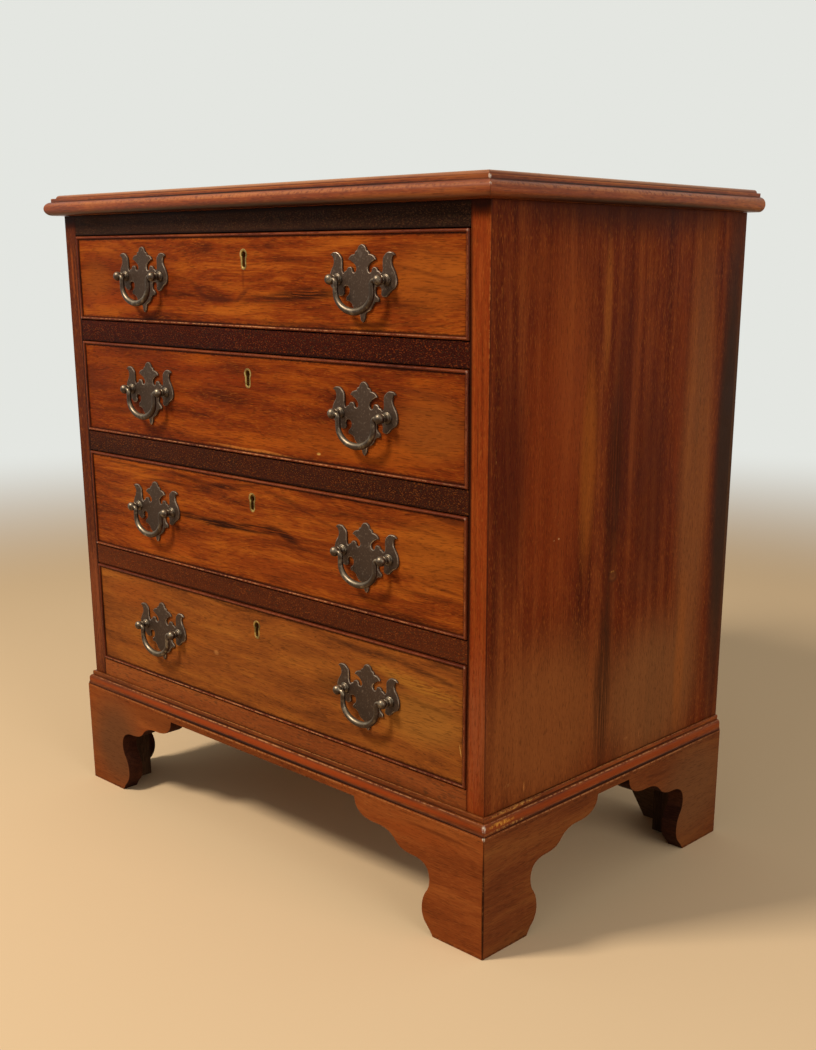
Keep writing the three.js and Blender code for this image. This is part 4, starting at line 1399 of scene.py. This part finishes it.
        add_piece(f"swan_bail_{self.drawer}_{self.side}", rings, name, self.finishes.get(BAIL_BRASS),
                  smooth=50.0, stands_for=(name,))

    def build(self) -> None:
        """Builds the handle."""
        centre = self.centre()
        self.plate(centre)
        self.posts(centre)
        self.bail(centre)


@dataclass
class Drawer:
    """One drawer: veneered front with cockbeads and a keyhole, oak linings, lock and two handles."""

    finishes: Finishes
    number: int
    bead: float = 3.0
    proud: float = 2.0
    keyhole_drop: float = 25.4
    # Each strip's pale line: distance in, width, colour, strength, breakup; partly rubbed wear and partly
    # painted highlight, brightest on the bottom strip that faces up
    rubbed: dict[str, Row] = field(default_factory=lambda: {
        "bottom": (2.0, 0.7, "c28a5c", 0.75, 0.35), "right": (1.0, 0.7, "a0643e", 0.5, 0.4),
        "top": (1.0, 0.7, "945436", 0.5, 0.3), "left": (1.0, 0.7, "a0643e", 0.5, 0.4)})
    contrasts: tuple[float, ...] = (1.0, 1.0, 1.0, 0.75)
    tones: tuple[Tones, ...] = (
        ("481a06", "77300b", "9c5015"), ("4a1a06", "702c0a", "90440f"),
        ("461b08", "78330d", "9e5216"), ("5a2f14", "80451a", "9a5c22"))

    # The figure, read off each board: rows of place, height, half length, half thickness, colour and
    # strength. Streaks also have a slope, and the fibres break them up; broad areas stay whole
    figures: tuple[tuple[Row, ...], ...] = (
        ((262, 634, 80, 44, "965018", 0.6), (-220, 628, 150, 50, "622409", 0.6),
         (-272, 626, 44, 34, "8f4a12", 0.5), (-230, 604, 90, 12, "943f10", 0.4),
         (-113, 632, 30, 4.5, "4a1a07", 0.6, -8), (-80, 621, 22, 5, "451807", 0.7, -34),
         (-42, 610, 40, 4.5, "3e1608", 0.85, -2), (-4, 616, 18, 4, "431809", 0.7, 32),
         (-2, 634, 3, 18, "5a220a", 0.5), (50, 614, 80, 6, "3c1607", 0.85, 3),
         (96, 619, 66, 8, "2e1005", 0.95, 3), (210, 615, 70, 7, "451a08", 0.7, -4),
         (130, 594, 190, 3, "43190a", 0.7, 1), (-190, 645, 50, 3.5, "5a240b", 0.5, -4),
         (255, 640, 60, 3, "5a270c", 0.5, -9), (268, 622, 44, 2.6, "532309", 0.5, -9),
         (270, 657, 40, 3, "5e2a0d", 0.5, -6), (-60, 655, 80, 3, "642a0c", 0.4, -2),
         (30, 641, 60, 3, "a2521a", 0.4, -3), (-60, 597, 80, 4, "a2561a", 0.5, 2)),
        ((262, 505, 70, 44, "8c4c1a", 0.6), (-220, 515, 150, 54, "62260a", 0.45),
         (150, 478, 150, 22, "8f4712", 0.45), (-250, 478, 66, 5.5, "4c1d0a", 0.7, 2),
         (-190, 479, 44, 6, "5a240c", 0.6, -3), (-296, 512, 18, 26, "5a240c", 0.6),
         (-90, 530, 160, 14, "782c0c", 0.5, -2), (20, 520, 90, 5, "6c260a", 0.5, -3),
         (110, 526, 50, 3.5, "561f09", 0.5, -5), (250, 536, 60, 5, "5f2b10", 0.5, -4),
         (258, 484, 60, 4, "69350f", 0.5, -6), (-30, 468, 160, 8, "9c4d14", 0.5, 1),
         (108, 466, 4, 2, "c89a50", 0.9), (5, 459, 100, 2, "bd7432", 0.7),
         (-110, 497, 90, 4, "8e3c10", 0.5, -2), (-160, 545, 110, 3, "5e240b", 0.4)),
        ((266, 384, 72, 46, "985318", 0.6), (-180, 335, 110, 16, "96440f", 0.5),
         (60, 336, 120, 14, "8e4012", 0.5), (-216, 418, 100, 3, "3c1606", 0.7, -3),
         (-150, 404, 70, 2.6, "3f1706", 0.75, 1), (-112, 414, 60, 4.5, "3a1405", 0.8, -5),
         (-50, 412, 40, 4.5, "301004", 0.95, 3), (-14, 419, 44, 3.2, "3c1606", 0.7, 8),
         (52, 414, 60, 3.4, "451a08", 0.6, -8), (96, 402, 60, 3, "45190a", 0.6, -14),
         (-104, 375, 70, 5, "2e1008", 0.9, -1), (-50, 373.5, 64, 7, "280e05", 1.0, 1),
         (-4, 376, 38, 8, "260c04", 1.0, 3), (24, 378, 28, 8, "260c04", 1.0, 5),
         (54, 375, 30, 7, "2c1007", 0.95, -15), (50, 366, 60, 3, "5a2309", 0.5, -20),
         (260, 343, 54, 3.5, "451c08", 0.7, -4), (276, 351, 40, 2.5, "4c2009", 0.6, -8),
         (288, 419, 34, 3.5, "45200d", 0.6, -6), (240, 407, 60, 3, "55260c", 0.5, -8),
         (262, 392, 50, 2.6, "5c2a0d", 0.5, -8), (-268, 385, 50, 5, "481b09", 0.6, -3),
         (-276, 404, 40, 3, "4c1d0a", 0.5, -5)),
        ((250, 222, 80, 40, "986428", 0.6), (245, 256, 90, 9, "a26c26", 0.6, -7),
         (-230, 262, 80, 22, "8d4718", 0.5), (0, 284, 160, 3, "3f1c0a", 0.7, -1.6),
         (180, 276, 90, 5, "432211", 0.7, -3), (262, 267, 60, 4, "3f200f", 0.75, -7),
         (280, 279, 40, 3, "4a2812", 0.5, -8), (125, 228, 44, 16, "633815", 0.6),
         (60, 252, 90, 8, "7a451a", 0.5, -3), (-130, 232, 80, 7, "985420", 0.4, -6),
         (-75, 223, 6, 5, "b47a42", 0.5), (262, 237, 56, 3.4, "5f3713", 0.6, -5),
         (258, 205, 60, 3, "6a3e17", 0.5, -4), (-20, 199, 160, 6, "75391a", 0.4, 1),
         (120, 186, 160, 5, "6e3a18", 0.5, 0), (-200, 196, 90, 6, "8e4c1e", 0.4, 2)))

    def front_wood(self, low: Vector, high: Vector) -> Wood:
        """Gives the front's veneer: figured mahogany with its grain along the drawer.

        Args:
            low: the front's lowest corner.
            high: its highest corner.

        Returns:
            The wood.
        """
        figure = []
        for x, z, long, tall, colour, strength, *slope in self.figures[self.number - 1]:
            tilt = slope[0] if slope else 0.0
            figure.append(Mark((x, CHEST.front, z), (long, 60.0, tall), colour, strength, tilt,
                               0.08 if slope else 0.0, wavy=True))
        scratch = Mark((301, CHEST.front, 203), (0.8, 9, 8), "c89a50", 0.8, 12)

        # Veneer cut for its figure: the eye gets dark streaks in golden brown, and a border of old dirt and
        # painted shade
        return Wood(f"figured_mahogany_front_{self.number}", self.tones[self.number - 1], band=15, ring=5,
                    contrast=self.contrasts[self.number - 1], pores=0.4, seed=30.0 + 3.7 * self.number,
                    marks=(*figure, scratch),
                    border=(high.x, (high.z - low.z) / 2, (high.z + low.z) / 2))

    def beads(self, low: Vector, high: Vector) -> None:
        """Builds the four strips of cockbead, mitred at the corners, with their worn edges and dirt.

        Args:
            low: the front's lowest corner.
            high: its highest corner.
        """
        face = CHEST.front
        round_over = arc((self.bead / 2, 0.0), (self.bead / 2 + 0.06, self.proud + 0.1), 180, 0, 14)
        section = [(-0.06, -4.0), *round_over, (self.bead + 0.06, -0.1), (self.bead * 0.6, -4.0)]
        corners = ((low.x, low.z), (high.x, low.z), (high.x, high.z), (low.x, high.z))
        # Near-white specks at two corners: painted glints on the bead's rounded corners
        bead_corner_glints = tuple(Mark((x, face - 2, z), (1.6, 3, 1.6), "b0907e", 0.7, edge=0.6, broken=0.3)
                       for x, z in ((high.x - 1.5, high.z - 1.5), (low.x + 1.5, low.z + 1.5)))
        for index, name in enumerate(("bottom", "right", "top", "left")):
            start, end = corners[index], corners[(index + 1) % 4]
            level = name in ("bottom", "top")
            way = 1 if name in ("bottom", "left") else -1
            shift = (0.0, way) if level else (way, 0.0)
            ends = [[(x + (1 if x == low.x else -1) * w, face - out, z + (1 if z == low.z else -1) * w)
                     for w, out in section] for x, z in (start, end)]

            # Dirt and painted shade on both sides of the strip, by the veneer and by the gap, and a pale line
            # along it, partly rubbed and partly painted highlight
            marks = []
            for inset, *look in ((self.bead + 0.3, 1.3, "180805", 0.9), self.rubbed[name],
                                 (-0.2, 0.8, "1c0a06", 0.7)):
                out = self.proud if 0 < inset < self.bead else 0.4
                edge = [(x + shift[0] * inset, face - out, z + shift[1] * inset) for x, z in (start, end)]
                marks.append(line_mark(*edge, *look))

            # Thin strips stained red and polished with the front, so they outline it as glossy dark lines
            wood = Wood(f"red_cockbead_{self.number}_{name}", ("34120a", "5e2610", "80401c"),
                        Grain.ALONG_X if level else Grain.ALONG_Z, band=9, ring=3, sway=2, pores=0.3,
                        flecks=0.2, fleck_colour="94543a", contrast=0.7, roughness=0.36, specular=0.06,
                        coat=0.05, seed=50.0 + 4 * self.number + index, marks=(*marks, *bead_corner_glints))
            add_piece(f"cockbead_{self.number}_{name}", ends, f"drawer_{self.number}",
                      self.finishes.get(wood), smooth=40.0)

    def keyhole_outline(self, extra: float) -> list[Point]:
        """Gives the keyhole's outline, grown all round.

        Args:
            extra: how far it is grown.

        Returns:
            The outline, anticlockwise, from the keyhole's middle.
        """
        tall, head, slot = 17.0, 3.9, 5.2
        top, width = tall / 2 - head, slot / 2 + extra
        neck = math.degrees(math.acos(width / (head + extra)))
        return [*arc((0.0, (slot - tall) / 2), (width, width), 180, 360, 16),
                *arc((0.0, top), (head + extra, head + extra), -neck, 180 + neck, 20)]

    def keyhole(self, high: Vector) -> None:
        """Inlays the brass thread round the keyhole and lines the hole with it.

        Args:
            high: the front's highest corner.
        """
        centre = high.z - self.keyhole_drop

        # How far each ring lies outside the hole and off the face: a rounded thread, then the hole's lining
        levels = ((1.8, -0.4), (1.8, 0.2), (1.5, 0.32), (0.0, 0.3), (-0.35, 0.05), (-0.35, -3.0), (0.2, -3.0))
        rings = [[(x, CHEST.front - out, centre + z) for x, z in self.keyhole_outline(extra)]
                 for extra, out in levels]
        add_piece(f"escutcheon_thread_{self.number}", rings, f"drawer_{self.number}",
                  self.finishes.get(THREAD_BRASS), closed=True, smooth=40.0)

    def lock(self) -> None:
        """Dresses the lock and adds the screws that hold it in its recess."""
        prefix = f"drawer_{self.number}"
        brass = self.finishes.get(LOCK_BRASS)
        dress(f"{prefix}_lock", brass)
        dress(f"{prefix}_bolt", self.finishes.get(STEEL))
        low, high = box_mm(f"{prefix}_lock")
        head = [(2.6, -0.05), (2.6, 0.2), (1.9, 0.55), (0.01, 0.62)]
        for name, side in HANDS:
            for row, z in (("low", low.z + 6), ("high", high.z - 9)):
                foot = Vector((side * 19, high.y, z))
                add_piece(f"lock_screw_{self.number}_{name}_{row}", lathe(head, foot, 20, True), prefix,
                          brass)

    def build(self) -> None:
        """Dresses the drawer and builds its trim and handles."""
        prefix = f"drawer_{self.number}"
        low, high = box_mm(f"{prefix}_front")
        dress(f"{prefix}_front", self.finishes.get(self.front_wood(low, high)))
        for node in ("side_left", "side_right", "back", "bottom"):
            oak = OAK if node.startswith("side") else OAK_ACROSS
            dress(f"{prefix}_{node}", self.finishes.get(oak))
        self.beads(low, high)
        self.keyhole(high)
        self.lock()
        for side in ("left", "right"):
            Handle(self.finishes, self.number, side).build()


@dataclass
class Studio:
    """The pale floor, the soft light and the camera, in metres."""

    finishes: Finishes
    camera_at: tuple[float, float, float] = (1.07919, -1.05029, 0.64861)
    yaw: float = 43.566
    pitch: float = 15.554
    roll: float = 0.123
    focal_px: float = 1300.0
    centre_px: tuple[float, float] = (436.5, 624.4)
    picture_px: tuple[int, int] = (816, 1050)
    sensor: float = 36.0
    world_light: float = 0.4

    # Each lamp's name, place, side, watts and colour
    lamps: tuple[tuple[str, tuple[float, float, float], float, float, str], ...] = (
        ("key", (-0.7, -1.7, 2.3), 0.5, 62.0, "fff3e2"),
        ("fill", (2.6, -0.3, 1.0), 1.8, 30.0, "f8f4ee"))

    def camera(self) -> None:
        """Sets the camera where the photograph was taken from."""
        data = bpy.data.cameras.new("camera")
        data.sensor_fit = "AUTO"
        data.sensor_width = self.sensor
        longest = max(self.picture_px)
        data.lens = self.focal_px * self.sensor / longest
        data.shift_x = (self.picture_px[0] / 2 - self.centre_px[0]) / longest
        data.shift_y = (self.centre_px[1] - self.picture_px[1] / 2) / longest
        data.clip_start = 0.05
        camera = bpy.data.objects.new("camera", data)
        camera.location = self.camera_at
        turn = Euler((math.radians(90 - self.pitch), 0.0, math.radians(self.yaw)), "XYZ").to_matrix()
        tilt = Euler((0.0, 0.0, math.radians(self.roll)), "XYZ").to_matrix()
        camera.rotation_euler = (turn @ tilt).to_euler()
        bpy.context.scene.collection.objects.link(camera)
        bpy.context.scene.camera = camera

    def lamp(self, name: str, at: Sequence[float], size: float, watts: float, colour: str) -> None:
        """Hangs a soft square lamp that faces the chest.

        Args:
            name: the lamp's name.
            at: where it hangs.
            size: its side.
            watts: its power.
            colour: its colour.
        """
        data = bpy.data.lights.new(name, "AREA")
        data.shape = "SQUARE"
        data.size = size
        data.energy = watts
        data.color = linear(colour)[:3]
        lamp = bpy.data.objects.new(name, data)
        lamp.location = at
        aim = Vector((0.0, 0.0, 0.38)) - Vector(at)
        lamp.rotation_euler = aim.to_track_quat("-Z", "Y").to_euler()
        bpy.context.scene.collection.objects.link(lamp)

    def floor(self) -> None:
        """Lays the floor."""
        radius, sides = 9.0, 64
        mesh = bpy.data.meshes.new("floor")
        angles = [2 * math.pi * i / sides for i in range(sides)]
        rim = [(radius * math.cos(a), radius * math.sin(a), 0.0) for a in angles]
        mesh.from_pydata(rim, [], [tuple(range(sides))])
        mesh.materials.append(self.finishes.get(FloorPaper()))
        floor = bpy.data.objects.new("floor", mesh)
        bpy.context.scene.collection.objects.link(floor)

    def world(self) -> None:
        """Fills the studio with even light, and shows it white behind the chest."""
        world = bpy.data.worlds.new("studio")
        world.use_nodes = True
        bpy.context.scene.world = world
        tree = world.node_tree
        tree.nodes.clear()
        light, seen = (add_node(tree, "Background", {"Color": linear(colour), "Strength": strength})
                       for colour, strength in (("f4efe8", self.world_light), (FloorPaper.surround, 1.0)))
        surface = add_node(tree, "MixShader", {0: seen_directly(tree), 1: light, 2: seen})
        add_node(tree, "OutputWorld", {"Surface": surface})

    def build(self) -> None:
        """Sets the stage."""
        self.camera()
        self.floor()
        self.world()
        for row in self.lamps:
            self.lamp(*row)
        bpy.context.scene.view_settings.view_transform = "Standard"


def main() -> None:
    """Builds the chest's looks from the case outward, then its stage."""
    logging.basicConfig(level=logging.INFO, format="%(name)s: %(message)s")
    finishes = Finishes()
    Case(finishes).build()
    Top(finishes).build()
    Plinth(finishes).build()
    for number in range(1, 5):
        Drawer(finishes, number).build()
    Studio(finishes).build()
    LOG.info("%d finishes made", len(finishes.made))


if __name__ == "__main__":
    main()
    bpy.context.view_layer.update()
